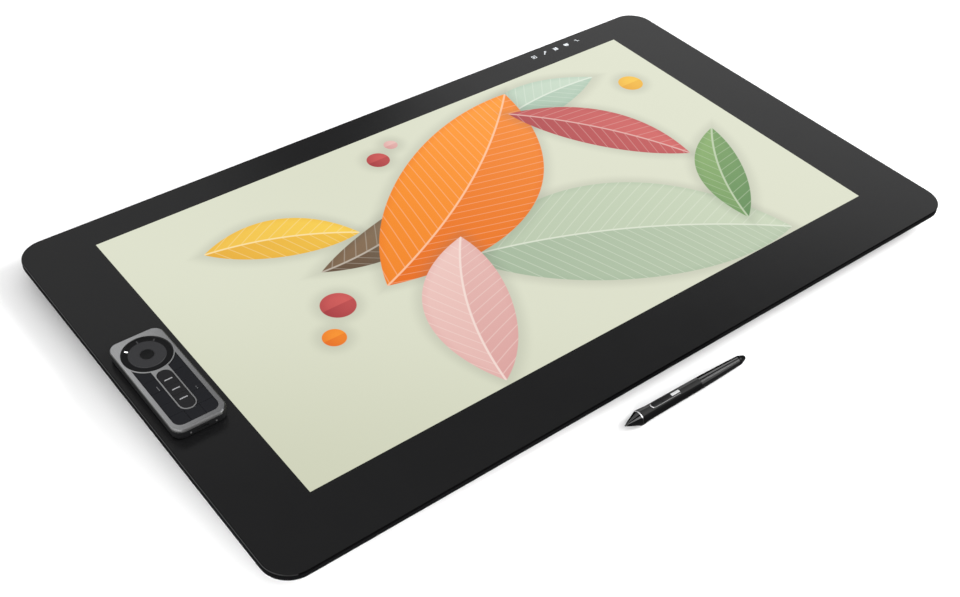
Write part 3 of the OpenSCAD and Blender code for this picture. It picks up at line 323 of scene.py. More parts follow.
def coat(name, colour, rough, metal=0.0, fineness=4.0, depth=2e-5, stretch=(1, 1, 1), vary=0.12,
         specular=0.5):
    """A finish whose grain, roughness and tone vary as on a real surface. The grain's depth is in metres."""
    made, tree, shader = new_material(name)
    fine, patches, normal = use(tree, surface, in_mm(tree), stretch, fineness, depth)
    tone = calc(tree, "MULTIPLY_ADD", fine, 2 * vary, 1 - vary)
    sway = 0.08
    feed(shader, Metallic=metal, Specular_IOR_Level=specular, Normal=normal,
         Base_Color=add(tree, "VectorMath", colour[:3], None, None, tone, operation="SCALE").outputs[0],
         Roughness=calc(tree, "MULTIPLY_ADD", patches, 2 * sway, rough - sway, clamp=True))
    return made


leaf, given, gives = effect(
    "Leaf",
    [("Under", "Color", None), ("Place", "Vector", None), ("Middle", "Vector", (0, 0, 0)),
     ("Turn", "Float", 0.0), ("Length", "Float", 100.0), ("Width", "Float", 40.0), ("Bow", "Float", 0.0),
     ("Light", "Color", None), ("Deep", "Color", None), ("Veins", "Float", 1.0)],
    [("Colour", "Color")])
leaf_edge, halo_edge, rim_edge, half_edge = (-0.3, 0.5), (-16.0, 2.0), (0.0, 9.0), (-0.5, 0.5)
rib_edge, vein_edge, vein_pitch, vein_slant = (1.6, 0.7), (1.1, 0.3), 7.0, -0.9
vein_share, line_share, pale_share, halo_share = 0.45, 0.75, 0.45, 0.2
pale_tone, halo_tone = (1, 1, 0.92, 1), (0.12, 0.13, 0.1, 1)
away = add(leaf, "VectorMath", given["Place"], given["Middle"], operation="SUBTRACT").outputs[0]
turned = add(leaf, "VectorRotate", away, None, None, given["Turn"], rotation_type="Z_AXIS").outputs[0]
along, aside, _ = add(leaf, "SeparateXYZ", turned).outputs
share = calc(leaf, "DIVIDE", along, given["Length"])
bowed = calc(leaf, "MULTIPLY_ADD", calc(leaf, "MULTIPLY", share, share), given["Bow"], aside)
off = calc(leaf, "ABSOLUTE", bowed)
# A leaf is where two discs overlap, and their radius follows from its half length and half width.
length_square, width_square = [calc(leaf, "POWER", given[size], 2.0) for size in ("Length", "Width")]
squares = calc(leaf, "ADD", length_square, width_square)
radius = calc(leaf, "DIVIDE", calc(leaf, "DIVIDE", squares, 2.0), given["Width"])
lift = calc(leaf, "ADD", off, calc(leaf, "SUBTRACT", radius, given["Width"]))
reach_square = calc(leaf, "ADD", calc(leaf, "POWER", along, 2.0), calc(leaf, "POWER", lift, 2.0))
depth = calc(leaf, "SUBTRACT", radius, calc(leaf, "SQRT", reach_square))
vein = calc(leaf, "PINGPONG", calc(leaf, "MULTIPLY_ADD", off, vein_slant, along), vein_pitch)
vein = calc(leaf, "MULTIPLY", ramp(leaf, vein, *vein_edge), vein_share)
line = calc(leaf, "MULTIPLY", calc(leaf, "MAXIMUM", ramp(leaf, off, *rib_edge), vein), given["Veins"])
by_half = calc(leaf, "MULTIPLY_ADD", ramp(leaf, bowed, *half_edge), 0.34, 0.1)
by_length = calc(leaf, "MULTIPLY_ADD", share, 0.22, 0.2)
by_rim = calc(leaf, "MULTIPLY_ADD", ramp(leaf, depth, *rim_edge), 0.25, 0.85)
bright = calc(leaf, "MULTIPLY", calc(leaf, "ADD", by_half, by_length), by_rim, clamp=True)
blade = mix(leaf, bright, given["Deep"], given["Light"])
pale = mix(leaf, pale_share, given["Light"], pale_tone)
blade = mix(leaf, calc(leaf, "MULTIPLY", line, line_share), blade, pale)
halo = calc(leaf, "MULTIPLY", ramp(leaf, depth, *halo_edge), halo_share)
ground = mix(leaf, halo, given["Under"], halo_tone)
fill(gives["Colour"], mix(leaf, ramp(leaf, depth, *leaf_edge), ground, blade))

spray = [
    # middle x, y, turn, half length, half width, bow, light, deep, veins
    (168, 148, 8, 104, 34, 14, (206, 222, 203), (150, 182, 160), 1),
    (-96, 40, 14, 96, 27, -16, (150, 122, 92), (92, 72, 54), 1),
    (104, -92, -27, 178, 80, 22, (205, 216, 190), (158, 180, 152), 1),
    (-196, 102, -22, 80, 31, 10, (250, 212, 84), (228, 168, 44), 1),
    (16, 62, 33, 186, 76, -20, (255, 158, 40), (228, 104, 18), 1),
    (208, 62, -56, 108, 36, 12, (214, 104, 100), (168, 62, 68), 1),
    (-104, -92, 64, 106, 44, 14, (240, 204, 196), (216, 158, 154), 1),
    (262, -78, 58, 84, 27, 10, (142, 178, 110), (92, 136, 84), 1),
    (-206, -18, 0, 18, 18, 0, (216, 96, 92), (160, 52, 58), 0),
    (-234, -54, 0, 12, 12, 0, (252, 156, 44), (226, 104, 20), 0),
    (302, 112, 0, 15, 15, 0, (250, 206, 76), (230, 164, 40), 0),
    (-38, 156, 0, 13, 13, 0, (216, 96, 92), (160, 52, 58), 0),
    (-10, 172, 0, 8, 8, 0, (240, 204, 196), (214, 150, 148), 0),
]
satin, satin_sway, etch, etch_depth = 0.20, 0.06, 9.0, 4e-6
# The cream ground is painted darker towards the front left corner: a painted shade.
shaded_cream, far_cream, near_end, far_end = rgb(205, 208, 184), rgb(219, 222, 201), -620.0, -150.0
border_glass, tree, shader = new_material("border_glass")
place = in_mm(tree)
on_view = add(tree, "VectorMath", place, (0, view_y, 0), operation="SUBTRACT").outputs[0]
over, ahead, _ = add(tree, "SeparateXYZ", on_view).outputs
lit = calc(tree, "MULTIPLY",
           calc(tree, "LESS_THAN", calc(tree, "ABSOLUTE", over), view_w / 2),
           calc(tree, "LESS_THAN", calc(tree, "ABSOLUTE", ahead), view_d / 2))
picture = mix(tree, ramp(tree, calc(tree, "ADD", ahead, over), near_end, far_end), shaded_cream, far_cream)
for x, y, angle, length, width, bow, light, deep, veins in spray:
    picture = use(tree, leaf, picture, on_view, (x, y, 0), math.radians(-angle), length, width, bow,
                  rgb(*light), rgb(*deep), veins)[0]
_, patches, normal = use(tree, surface, place, (1, 1, 1), etch, etch_depth)
feed(shader, Base_Color=(0.006, 0.006, 0.0063, 1), IOR=1.5, Normal=normal,
     Roughness=calc(tree, "MULTIPLY_ADD", patches, satin_sway, satin),
     Emission_Color=picture, Emission_Strength=lit)
# The ground edge is near black and barely reflects: a painted shade on every edge but the left.
shaded_ground_glass = coat("shaded_ground_glass", grey(0.001), 0.6, fineness=etch, depth=etch_depth, specular=0.03)
sheet = shaped(new_object("cover_glass_sheet", glass_mesh, border_glass))
glass_mesh.materials.append(shaded_ground_glass)
flat_from, left_to = 0.99, -0.3
for face in glass_mesh.polygons:
    face.material_index = int(face.normal.z < flat_from and face.normal.x > left_to)
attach(sheet, "tablet")
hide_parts("cover_glass")


# Touch icons: five white signs, printed on the back right border of the glass, one over each touch key.
# Each is a few flat shapes a hundredth of a millimetre above the glass: a square with a dot, a spanner,
# two blocks, a screen on its foot and a bent line.
icon_rise, icon_step = 0.01, 0.002
icon_white = coat("icon_white", rgb(214, 218, 222), 0.5, fineness=2.0, vary=0.04)


def disc(x, y, r):
    turns = [2 * math.pi * i / 20 for i in range(20)]
    return [(x + r * math.cos(a), y + r * math.sin(a)) for a in turns]


def bar(x, y, w, d, angle=0):
    c, s = math.cos(math.radians(angle)), math.sin(math.radians(angle))
    ends = ((-w / 2, -d / 2), (w / 2, -d / 2), (w / 2, d / 2), (-w / 2, d / 2))
    return [(x + c * u - s * v, y + s * u + c * v) for u, v in ends]


icons = [
    [bar(-2.6, 0, 0.8, 6), bar(2.6, 0, 0.8, 6), bar(0, 2.6, 4.4, 0.8), bar(0, -2.6, 4.4, 0.8),
     disc(0, 0, 1.2)],
    [bar(-0.4, -0.4, 5.6, 1.2, 45), disc(2.0, 2.0, 1.5), disc(-2.2, -2.2, 0.8)],
    [bar(-1.6, 0, 2.6, 5.6), bar(1.6, 0, 2.6, 5.6)],
    [bar(0, 0.4, 6.4, 4.2), bar(0, -2.6, 3.6, 0.8)],
    [bar(0, 0.8, 0.9, 3.6), bar(1.3, -1.0, 3.0, 0.9), bar(-1.2, 2.2, 2.6, 0.9)],
]
keys_from, keys_to = span("touch_key_board")
icon_pitch = (keys_to.x - keys_from.x) / len(icons)
icon_y = (keys_from.y + keys_to.y) / 2
bm = bmesh.new()
for i, shapes in enumerate(icons):
    icon_x = keys_from.x + (i + 0.5) * icon_pitch
    for layer, shape in enumerate(shapes):
        z = glass_to.z + icon_rise + layer * icon_step
        bm.faces.new(vertices(bm, [(u, v, z) for u, v in shape], (icon_x, icon_y)))
signs = new_object("touch_icons", mesh_of(bm, "touch_icons"), icon_white)
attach(signs, "tablet")


# Glass seal: a thin ring of black rubber between the glass and the side frame.
# It is set back a little, so it reads as a dark line all round.
def wear(node, material):
    """Gives a CAD node its material."""
    frame["nodes"][node].data.materials.clear()
    frame["nodes"][node].data.materials.append(material)


wear("glass_seal", coat("seal_rubber", grey(0.004), 0.8, fineness=6.0, specular=0.2))


# Side frame: the black metal edge under the glass, blasted to a fine grain.
# Its edges are broken by a quarter of a millimetre.
def dress(node, body, material, width, sharp=28):
    """A copy of a CAD node that stands for it, with its sharp edges rounded by a width in millimetres."""
    bm = bmesh.new()
    bm.from_mesh(frame["nodes"][node].data)
    bmesh.ops.remove_doubles(bm, verts=bm.verts[:], dist=2e-6)
    bmesh.ops.dissolve_degenerate(bm, edges=bm.edges[:], dist=1e-6)
    bmesh.ops.dissolve_limit(
        bm, angle_limit=math.radians(0.4), use_dissolve_boundaries=False, verts=bm.verts[:],
        edges=bm.edges[:], delimit=set())
    limit = math.radians(sharp)
    edges = [e for e in bm.edges if len(e.link_faces) == 2 and e.calc_face_angle(0) > limit]
    bmesh.ops.bevel(
        bm, geom=edges, offset=width / 1000, offset_type="OFFSET", segments=2, profile=0.5, affect="EDGES",
        clamp_overlap=True)
    made = shaped(new_object(node + "_dressed", mesh_of(bm, node + "_dressed"), material))
    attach(made, body)
    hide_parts(node)


edge_black = coat("edge_metal", (0.002, 0.002, 0.0024), 0.5, fineness=5.0, depth=1e-5, specular=0.08)
dress("side_frame", "tablet", edge_black, 0.25)


# Rear cover: one shell of black plastic, moulded with the leg wells, the vents and the row of ports.
# Its mould is spark textured, and twelve screws hold it from behind.
wear("rear_cover", coat("cover_plastic", (0.017, 0.017, 0.019), 0.55, fineness=2.2, depth=6e-5, vary=0.2))


# Display stack: the panel glass, diffuser sheets, clear light guide and lamp bar, in a pressed metal tray.
# White dots are printed on the light guide in even rows.
def bare_metal(name, colour, rough, fineness, depth, stretch=(1, 1, 1)):
    """A bare metal whose rolling or machining lines are drawn out by the stretch."""
    return coat(name, colour, rough, 1.0, fineness, depth, stretch)


wear("lcd_panel", coat("panel_glass", (0.03, 0.035, 0.045), 0.15, fineness=3.0, depth=2e-6))
wear("diffuser_sheets", coat("sheet_plastic", (0.8, 0.8, 0.78), 0.6, fineness=8.0, depth=1e-5, vary=0.05))
dot_scale, dot_edge = 0.6, (0.32, 0.25)
guide, tree, shader = new_material("guide_plastic")
dots = add(tree, "TexVoronoi", in_mm(tree), None, dot_scale, feature="F1")
feed(dots, Randomness=0.0)
printed = ramp(tree, dots.outputs["Distance"], *dot_edge)
feed(shader, Base_Color=mix(tree, printed, (0.72, 0.78, 0.8, 1), grey(0.95)),
     Roughness=calc(tree, "MULTIPLY_ADD", printed, 0.6, 0.08))
wear("light_guide", guide)
wear("lamp_bar", coat("lamp_plastic", (0.85, 0.78, 0.45), 0.4, fineness=1.2, vary=0.1))
wear("backlight_tray", bare_metal("tray_metal", (0.62, 0.63, 0.64), 0.35, 1.5, 8e-6, (0.05, 1, 1)))


# Boards: glass fibre boards, with etched copper tracks under green lacquer, and tinned pads.
# The pen sensing, main, power and touch key boards and the remote's board have the same finish.
track_scale, track_gap, pad_scale, pad_half = 0.12, 0.05, 0.22, 0.16
board_green, tree, shader = new_material("board_green")
place = in_mm(tree)
track = add(tree, "TexBrick", place, None, None, None, track_scale, track_gap).outputs["Fac"]
cells = add(tree, "TexVoronoi", place, None, pad_scale, distance="CHEBYCHEV", feature="F1")
pad = calc(tree, "LESS_THAN", cells.outputs["Distance"], pad_half)
lacquer = mix(tree, track, (0.006, 0.085, 0.035, 1), (0.02, 0.17, 0.06, 1))
feed(shader, Base_Color=mix(tree, pad, lacquer, (0.65, 0.6, 0.5, 1)), Metallic=pad, Roughness=0.3)
for board in ("pen_sensor_board", "main_board", "power_board", "touch_key_board", "remote_board"):
    wear(board, board_green)


# Shield, chassis and heat sink: a sheet of rolled steel behind the pen sensing board,
# the folded aluminium plate that carries the display stack, and a heat sink with sawn fins.
wear("sensor_shield", bare_metal("shield_steel", (0.5, 0.5, 0.51), 0.4, 2.0, 6e-6, (0.08, 1, 1)))
wear("chassis_plate", bare_metal("chassis_metal", (0.55, 0.56, 0.57), 0.42, 3.0, 1e-5, (1, 0.06, 1)))
wear("heat_sink", bare_metal("sink_metal", (0.6, 0.6, 0.62), 0.38, 2.0, 1e-5, (0.1, 1, 1)))


# Connectors: shells of folded bright steel.
# They stand behind the row of openings in the back wall.
wear("connectors", bare_metal("connector_steel", (0.62, 0.62, 0.64), 0.25, 2.0, 5e-6, (1, 0.1, 1)))


# Fans: two frames with a rotor each, in dark, glass filled plastic.
# The moulding leaves marbled flow lines in it.
fan_plastic = coat("fan_plastic", (0.022, 0.022, 0.025), 0.45, fineness=0.8, vary=0.25)
for part in ("fan_frames", "left_fan_rotor", "right_fan_rotor"):
    wear(part, fan_plastic)


# Legs: two flat metal legs, painted dark grey, that fold out of wells in the rear cover on steel pins.
# Each has a rubber foot on its free end.
leg_grey = coat("leg_metal", (0.035, 0.035, 0.038), 0.42, fineness=3.0)
foot_rubber = coat("foot_rubber", grey(0.012), 0.85, fineness=3.0, depth=5e-5, specular=0.25)
for side in ("left", "right"):
    dress(side + "_leg", side + "_leg", leg_grey, 0.5)
    dress(side + "_leg_foot", side + "_leg", foot_rubber, 0.4)
wear("leg_pins", bare_metal("pin_steel", (0.58, 0.58, 0.6), 0.25, 2.0, 4e-6, (0.1, 1, 1)))


# Rubber feet and mount inserts: moulded pads under the rear cover, which the tablet lies on,
# and four turned brass inserts in the back, with threads for an arm.
wear("rubber_feet", foot_rubber)
wear("mount_inserts", bare_metal("insert_brass", (0.62, 0.44, 0.16), 0.3, 4.0, 6e-6))


# Cover screws: twelve blackened steel screws round the back, one screw set out on points by Geometry Nodes.
# Each has a sloped head with a cross in it, and a plain shank.
screw_black = bare_metal("screw_steel", (0.12, 0.12, 0.125), 0.35, 4.0, 6e-6)
head_d, head_h, head_slope = 0.0064, 0.0018, 0.0005
shank_d, cross_l, cross_w = 0.003, 0.00384, 0.001
screws_low, screws_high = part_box("cover_screws")
screw_x, screw_y = screws_high.x - head_d / 2, screws_high.y - head_d / 2
shank_l = screws_high.z - screws_low.z - head_h
screw_places = [(i * screw_x / 2, side * screw_y, screws_low.z) for i in range(-2, 3) for side in (-1, 1)]
screw_places += [(side * screw_x, 0, screws_low.z) for side in (-1, 1)]

screw_tree = bpy.data.node_groups.new("Screws", "GeometryNodeTree")
screw_tree.interface.new_socket("Places", in_out="INPUT", socket_type="NodeSocketGeometry")
screw_sizes = {}
for title, value in (("Head Diameter", head_d), ("Head Height", head_h), ("Head Slope", head_slope),
                     ("Shank Diameter", shank_d), ("Shank Length", shank_l), ("Cross Length", cross_l),
                     ("Cross Width", cross_w)):
    socket = screw_tree.interface.new_socket(title, in_out="INPUT", socket_type="NodeSocketFloat")
    screw_sizes[socket.identifier] = value
screw_tree.interface.new_socket("Screws", in_out="OUTPUT", socket_type="NodeSocketGeometry")


def grow(kind, _props=(), **inputs):
    """A geometry node of the screw tree. Inputs are named by socket, with underscores for spaces."""
    made = screw_tree.nodes.new(kind)
    for key, value in _props:
        setattr(made, key, value)
    for key, value in inputs.items():
        socket = next(s for s in made.inputs if s.enabled and s.name == key.replace("_", " "))
        for one in value if isinstance(value, list) else [value]:
            fill(socket, one)
    return made.outputs[0]


def raised(shape, height):
    """A shape moved up."""
    return grow("GeometryNodeTransform", Geometry=shape, Translation=grow("ShaderNodeCombineXYZ", Z=height))


asked = screw_tree.nodes.new("NodeGroupInput").outputs
wide, shank_r, shank_half = [
    calc(screw_tree, "DIVIDE", asked[size], 2.0)
    for size in ("Head Diameter", "Shank Diameter", "Shank Length")]
narrow = calc(screw_tree, "SUBTRACT", wide, asked["Head Slope"])
head = grow("GeometryNodeMeshCone", Vertices=40, Radius_Top=wide, Radius_Bottom=narrow,
            Depth=asked["Head Height"])
shank = grow("GeometryNodeMeshCylinder", Vertices=24, Radius=shank_r, Depth=asked["Shank Length"])
shank_up = calc(screw_tree, "ADD", asked["Head Height"], shank_half)
cross = [(asked["Cross Length"], asked["Cross Width"]), (asked["Cross Width"], asked["Cross Length"])]
bars = [grow("GeometryNodeMeshCube", Size=grow("ShaderNodeCombineXYZ", X=x, Y=y, Z=asked["Head Height"]))
        for x, y in cross]
slotted = grow("GeometryNodeMeshBoolean", [("solver", "EXACT")], Mesh_1=head, Mesh_2=bars)
screw = grow("GeometryNodeJoinGeometry", Geometry=[slotted, raised(shank, shank_up)])
set_out = grow("GeometryNodeInstanceOnPoints", Points=asked["Places"], Instance=screw)
made_real = grow("GeometryNodeRealizeInstances", Geometry=set_out)
blackened = grow("GeometryNodeSetMaterial", Geometry=made_real, Material=screw_black)
fill(screw_tree.nodes.new("NodeGroupOutput").inputs[0], blackened)

places = bpy.data.meshes.new("screw_places")
places.from_pydata(screw_places, [], [])
rows = new_object("screw_rows", places, screw_black)
setting = rows.modifiers.new("screws", "NODES")
setting.node_group = screw_tree
for identifier, value in screw_sizes.items():
    setting[identifier] = value
screw_mesh = bpy.data.meshes.new_from_object(rows.evaluated_get(bpy.context.evaluated_depsgraph_get()))
bpy.data.objects.remove(rows)
screw_mesh.materials.clear()
screws = shaped(new_object("cover_screw_set", screw_mesh, screw_black))
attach(screws, "tablet")
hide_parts("cover_screws")


# Power button: a pill of satin black plastic with rounded edges.
# It stands in a slot of the back edge and presses in.
button_black = coat("button_plastic", (0.02, 0.02, 0.022), 0.4, fineness=5.0)
dress("power_button", "power_button", button_black, 0.3)


# Remote base: the moulded lower case of the remote, in black plastic, with two small screw heads in front.
# It lies on rubber pads, and holds the battery and the board.
def opened(material):
    """A finish's node tree, its shader and the colour that feeds it."""
    shader = material.node_tree.nodes["Principled BSDF"]
    return material.node_tree, shader, shader.inputs["Base Color"].links[0].from_socket


remote_from, remote_to = span("remote_frame")
remote_at = (remote_from + remote_to) / 2
stud_off, stud_z, stud_edge = 12.5, 31.5, (0.95, 0.8)
stud_y = span("remote_base")[0].y
remote_black = coat("remote_plastic", (0.007, 0.007, 0.0075), 0.5, fineness=3.0, depth=3e-5, specular=0.25)
tree, shader, shade = opened(remote_black)
for side in (-1, 1):
    stud = (remote_at.x + side * stud_off, stud_y, stud_z)
    near = add(tree, "VectorMath", in_mm(tree), stud, operation="DISTANCE").outputs["Value"]
    shade = mix(tree, ramp(tree, near, *stud_edge), shade, grey(0.08))
feed(shader, Base_Color=shade)
dress("remote_base", "remote", remote_black, 0.1, sharp=50)
wear("remote_pads", foot_rubber)
wear("remote_battery", bare_metal("cell_metal", (0.55, 0.56, 0.58), 0.35, 2.0, 5e-6))


# Remote frame: one plate of silver metal, brushed along its length, set on the lower case with a short skirt.
# It has openings for the ring, the centre keys and the keys round them.
# Their rounded edges are the bright lines round the ring and the centre keys.
# The silver carries painted light: a painted sheen, brighter at the back left, and painted shade on its edges
# and sides.
remote_w, remote_l = remote_to.x - remote_from.x, remote_to.y - remote_from.y
split_z, face_z = remote_from.z, remote_to.z
remote_r, plate_t, skirt, rim = 10.0, 2.0, 2.0, 1.45
ring_border, ring_top = 3.0, 4.9
pill_w, pill_l, pill_front = 14.6, 55.0, 17.2
key_border, key_front, key_r = 4.9, 6.2, 8.0
side_round, front_round, ring_round, pill_round, key_round = 1.2, 2.7, 0.2, 0.3, 0.3
plate_z = face_z - plate_t
ring_r = remote_w / 2 - ring_border
ring_y = remote_l / 2 - ring_top - ring_r
pill_r = pill_w / 2
pill_back_y, pill_front_y = pill_l / 2 - pill_r - pill_front, pill_r - pill_l / 2 - pill_front
side_x, front_y = remote_w / 2 - key_border, key_front - remote_l / 2
round_steps = [math.radians(a) for a in range(0, 91, 15)]


def arc(x, y, r, start, end, n):
    angles = [math.radians(start + (end - start) * i / n) for i in range(n + 1)]
    return [(x + r * math.cos(a), y + r * math.sin(a)) for a in angles]


def shifted(points, by):
    """A closed anticlockwise outline moved inwards, each point by its own distance, with mitred corners."""
    moved = []
    for i, (x, y) in enumerate(points):
        before, after = Vector(points[i - 1]), Vector(points[(i + 1) % len(points)])
        one, two = (Vector((x, y)) - before).normalized(), (after - Vector((x, y))).normalized()
        one, two = Vector((-one.y, one.x)), Vector((-two.y, two.x))
        way = (one + two) / (1 + one.dot(two))
        moved.append((x + way.x * by[i], y + way.y * by[i]))
    return moved


# The keys' opening runs along the rims of the ring and of the centre keys, and round its front corners.
ring_rim, pill_rim = ring_r + rim, pill_r + rim
side_turn = math.degrees(math.acos(side_x / ring_rim))
neck_turn = math.degrees(math.acos(pill_rim / ring_rim))
ring_hole = arc(0, ring_y, ring_r, 0, 360, 160)[:-1]
pill_hole = arc(0, pill_back_y, pill_r, 0, 180, 40) + arc(0, pill_front_y, pill_r, 180, 360, 40)
keys_hole = (
    arc(0, ring_y, ring_rim, -180 + side_turn, -180 + neck_turn, 14)
    + arc(0, pill_front_y, pill_rim, 180, 360, 48)
    + arc(0, ring_y, ring_rim, -neck_turn, -side_turn, 14)
    + arc(side_x - key_r, front_y + key_r, key_r, 0, -90, 20)
    + arc(key_r - side_x, front_y + key_r, key_r, -90, -180, 20))[::-1]
bm = bmesh.new()


def edges_of(loop):
    return [bm.edges.get((loop[i - 1], loop[i])) for i in range(len(loop))]


def raise_wall(points, low_z, rounds):
    """A wall from a height up to the face, its upper edge rounded. Gives its lowest and its highest edges."""
    loops = [vertices(bm, [(x, y, low_z) for x, y in points], remote_at)]
    for a in round_steps:
        ring = shifted(points, [(1 - math.cos(a)) * r for r in rounds])
        heights = [face_z + (math.sin(a) - 1) * abs(r) for r in rounds]
        loops.append(vertices(bm, [(x, y, z) for (x, y), z in zip(ring, heights)], remote_at))
    skin(bm, loops)
    return edges_of(loops[0]), edges_of(loops[-1])


rim_line = outline(remote_w, remote_l, remote_r, 24)
fronts = [frontness(y, remote_l, remote_r, remote_r) for _, y in rim_line]
rim_rounds = [side_round + (front_round - side_round) * front for front in fronts]
foot, top = raise_wall(rim_line, split_z, rim_rounds)
lining = shifted(rim_line, [skirt] * len(rim_line))
skirt_low, skirt_top = [vertices(bm, [(x, y, z) for x, y in lining], remote_at) for z in (split_z, plate_z)]
skin(bm, [skirt_low, skirt_top])
foot += edges_of(skirt_low)
under = edges_of(skirt_top)
for hole, hole_round in ((ring_hole, ring_round), (pill_hole, pill_round), (keys_hole, key_round)):
    low, high = raise_wall(hole, plate_z, [-hole_round] * len(hole))
    under += low
    top += high
for edges in (top, under, foot):
    bmesh.ops.triangle_fill(bm, edges=edges, use_beauty=True, use_dissolve=False)
bmesh.ops.recalc_face_normals(bm, faces=bm.faces[:])
frame_mesh = mesh_of(bm, "remote_frame_plate")

remote_silver = coat("remote_silver", (0.60, 0.605, 0.615), 0.30, 0.8, 5.0, 6e-6, (1, 0.04, 1), vary=0.22)
# The silver's top is painted brighter at the back left and darker towards the front right: a painted sheen.
sheen_lean, sheen_dim_end, sheen_bright_end, sheen_dimming = -0.3, -345.0, -430.0, 0.6
tree, shader, shade = opened(remote_silver)
over, ahead, _ = add(tree, "SeparateXYZ", in_mm(tree)).outputs
sheen_fall = ramp(tree, calc(tree, "MULTIPLY_ADD", ahead, sheen_lean, over), sheen_dim_end, sheen_bright_end)
shade = mix(tree, sheen_fall, mix(tree, sheen_dimming, shade, grey(0.1)), shade)
# Where the silver turns from the top it is painted darker: more where it faces left, and near black where it
# faces the key lamp on the right. This painted shade dims the glints on its edges.
facing_x, _, facing_z = add(tree, "SeparateXYZ", add(tree, "TexCoord").outputs["Normal"]).outputs
for facing, start, end, tone in (
        (facing_z, 0.95, 0.65, 0.20), (facing_x, -0.15, -0.5, 0.12), (facing_x, 0.11, 0.30, 0.012)):
    shade = mix(tree, ramp(tree, facing, start, end), shade, grey(tone))
feed(shader, Base_Color=shade)
silver = shaped(new_object("remote_frame_plate", frame_mesh, remote_silver))
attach(silver, "remote")
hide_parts("remote_frame")


# Touch ring: a dished ring of black plastic with a lighter middle, set in the round opening of the frame.
# The ring button stands in its hub, and three small lights in its back part. The first one is lit.
hub_shade_edge, middle_edge = (5.0, 7.4), (17.2, 17.8)
ring_at = (remote_at.x, remote_at.y + ring_y, 0)
ring_dark = coat("ring_plastic", (0.026, 0.026, 0.028), 0.45, fineness=6.0, depth=1e-5, specular=0.25)
tree, shader, shade = opened(ring_dark)
from_hub = add(tree, "VectorMath", in_mm(tree), ring_at, operation="SUBTRACT").outputs[0]
level_way = add(tree, "VectorMath", from_hub, (1, 1, 0), operation="MULTIPLY").outputs[0]
far = add(tree, "VectorMath", level_way, operation="LENGTH").outputs["Value"]
# Darker towards the hub: a painted shade where the dish sinks round the button.
shade = mix(tree, ramp(tree, far, *hub_shade_edge), (0.009, 0.009, 0.0095, 1), shade)
shade = mix(tree, ramp(tree, far, *middle_edge), shade, (0.003, 0.003, 0.0036, 1))
feed(shader, Base_Color=shade)
dress("touch_ring", "remote", ring_dark, 0.12, sharp=60)
hub_dark = coat("hub_plastic", (0.004, 0.0042, 0.0045), 0.4, fineness=6.0, depth=1e-5, specular=0.25)
dress("ring_button", "ring_button", hub_dark, 0.1, sharp=60)
light_glow = 1.1
past_first = (span("ring_lights")[0].x + remote_at.x) / 2
light_white, tree, shader = new_material("light_plastic")
first = calc(tree, "LESS_THAN", add(tree, "SeparateXYZ", in_mm(tree)).outputs[0], past_first)
feed(shader, Base_Color=mix(tree, first, (0.035, 0.035, 0.037, 1), grey(0.8)), Roughness=0.4,
     Emission_Color=grey(1), Emission_Strength=calc(tree, "MULTIPLY", first, light_glow))
wear("ring_lights", light_white)


# Remote keys: three hard caps in the centre column, and eleven soft touch caps round it.
# They are moulded and stand in the frame's openings, and what is raised on their tops is lighter.
key_rubber = coat("key_rubber", (0.0065, 0.007, 0.009), 0.6, specular=0.2)
mid_plastic = coat("mid_key_plastic", (0.007, 0.007, 0.008), 0.5, specular=0.35)
key_top = span("left_key_1")[1].z
mark_low, mark_high = key_top + 0.05, key_top + 0.15
for finish, mark in ((mid_plastic, (0.26, 0.26, 0.27, 1)), (key_rubber, (0.12, 0.12, 0.125, 1))):
    tree, shader, shade = opened(finish)
    height = add(tree, "SeparateXYZ", in_mm(tree)).outputs[2]
    feed(shader, Base_Color=mix(tree, ramp(tree, height, mark_low, mark_high), shade, mark))
for name in ["%s_key_%d" % (side, i) for side in ("left", "right") for i in (1, 2, 3, 4)]:
    dress(name, name, key_rubber, 0.25)
for i in (1, 2, 3):
    dress("low_key_%d" % i, "low_key_%d" % i, key_rubber, 0.25)
    dress("mid_key_%d" % i, "mid_key_%d" % i, mid_plastic, 0.2)


# Pen: nose, barrel and tail button of black plastic, a silver collar, a rubber grip, and a rocker in a
# silver frame. Streaks of painted highlight and painted shade lie along the pieces, each at its own angle
# round the pen's axis.
pen_black = coat("pen_plastic", (0.003, 0.003, 0.0033), 0.22, depth=4e-6, specular=0.15)
grip_black = coat("grip_rubber", (0.003, 0.003, 0.0032), 0.5, fineness=3.0, depth=3e-5, specular=0.06)
pen_silver = coat("pen_silver", (0.86, 0.86, 0.87), 0.42, 0.6, 5.0, 4e-6, (0.1, 1, 1), vary=0.05)
rocker_black = coat("rocker_plastic", (0.006, 0.006, 0.0065), 0.4, fineness=5.0, specular=0.35)
nib_grey = coat("nib_plastic", grey(0.03), 0.5, fineness=6.0)
pen_x, pen_y, pen_z, pen_fall = -73.6, -273.2, 5.92, 0.01668
streak_soft = 4
roll, given, gives = effect("Roll", [("Place", "Vector", None)], [("Angle", "Float")])
over, ahead, height = add(roll, "SeparateXYZ", given["Place"]).outputs
axis = calc(roll, "MULTIPLY_ADD", over, -pen_fall, pen_z + pen_x * pen_fall)
angle = calc(roll, "ARCTAN2", calc(roll, "SUBTRACT", pen_y, ahead), calc(roll, "SUBTRACT", height, axis))
fill(gives["Angle"], calc(roll, "DEGREES", angle))


def again(name, plain):
    """A copy of a finish, under a name of its own."""
    made = plain.copy()
    made.name = name
    return made


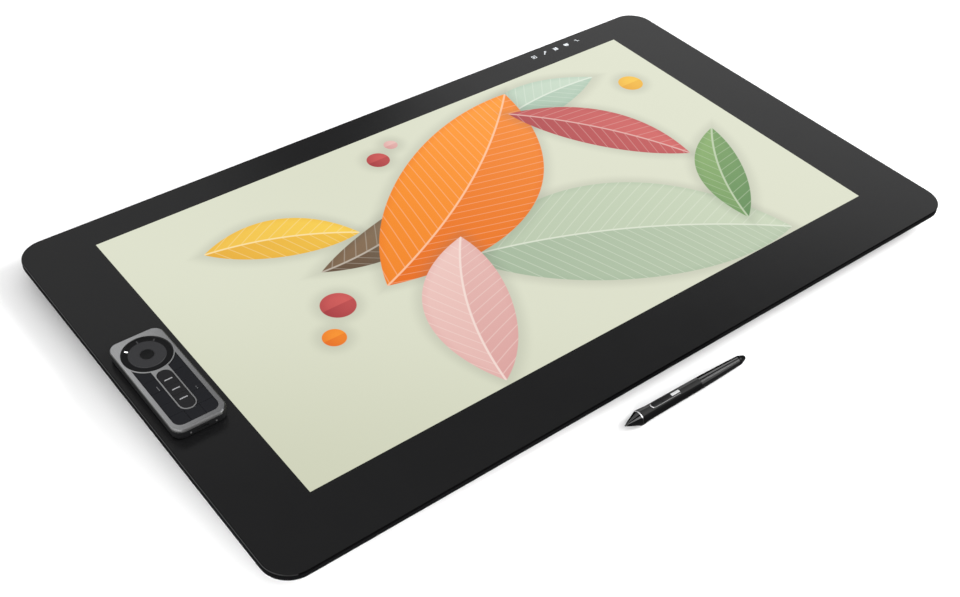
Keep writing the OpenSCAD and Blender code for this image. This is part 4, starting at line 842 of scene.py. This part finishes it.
def painted_streaks(name, plain, streaks):
    """A finish of the pen with painted streaks along it, each from one roll angle to another, with its tone:
    lighter ones are painted highlights, darker ones painted shade.
    """
    made = again(name, plain)
    tree, shader, shade = opened(made)
    angle = use(tree, roll, in_mm(tree))[0]
    for start, end, tone in streaks:
        rise = ramp(tree, angle, start - streak_soft, start + streak_soft)
        drop = ramp(tree, angle, end + streak_soft, end - streak_soft)
        shade = mix(tree, calc(tree, "MULTIPLY", rise, drop), shade, grey(tone))
    feed(shader, Base_Color=shade)
    return made


# Barrel and nose: painted highlights along the top and the upper front. Collar: painted shade on its front
# and lower side. Grip: a painted sheen, lightest on its upper back and fading over the top to black at the
# front.
barrel_black = painted_streaks("pen_barrel_plastic", pen_black, [(-12, 6, 0.10), (32, 56, 0.03)])
nose_black = painted_streaks("pen_nose_plastic", pen_black, [(-22, 10, 0.05), (26, 42, 0.10)])
collar_silver = painted_streaks("pen_collar_silver", pen_silver, [(46, 150, 0.02)])
grip_painted_sheen = painted_streaks("pen_grip_rubber", grip_black, [(-60, -6, 0.075), (-6, 38, 0.022)])

# The grooves beside the plate are painted black, a painted shade in them. The frame's outer rim is painted
# darker, a painted shade that dims its glint.
groove_in, groove_out, groove_x, rim_edge = (1.45, 1.55), (2.65, 2.55), -17.0, (2.5, 2.6)
frame_silver = again("pen_frame_silver", pen_silver)
tree, shader, shade = opened(frame_silver)
over, ahead, _ = add(tree, "SeparateXYZ", in_mm(tree)).outputs
off = calc(tree, "ABSOLUTE", calc(tree, "SUBTRACT", ahead, pen_y))
groove = calc(tree, "MULTIPLY", ramp(tree, off, *groove_in), ramp(tree, off, *groove_out))
groove = calc(tree, "MULTIPLY", groove, calc(tree, "GREATER_THAN", over, groove_x))
shade = mix(tree, ramp(tree, off, *rim_edge), shade, grey(0.16))
feed(shader, Base_Color=mix(tree, groove, shade, grey(0.004)))

for name, body, slot, material in (
        ("pen_barrel", "pen", "pen_plastic", barrel_black),
        ("pen_grip", "pen", "grip_rubber", grip_painted_sheen),
        ("pen_nose", "pen", "pen_plastic", nose_black),
        ("pen_collar", "pen", "pen_silver", collar_silver),
        ("pen_switch_frame", "pen", "pen_silver", frame_silver),
        ("pen_nib", "pen_nib", "nib_plastic", nib_grey),
        ("pen_rocker", "pen_rocker", "rocker_plastic", rocker_black),
        ("pen_tail_button", "pen_tail_button", "pen_plastic", pen_black)):
    dress(name, body, material, 0.15, sharp=40)
wear("pen_core", bare_metal("core_copper", (0.7, 0.32, 0.12), 0.35, 3.0, 1e-5, (1, 0.1, 0.1)))
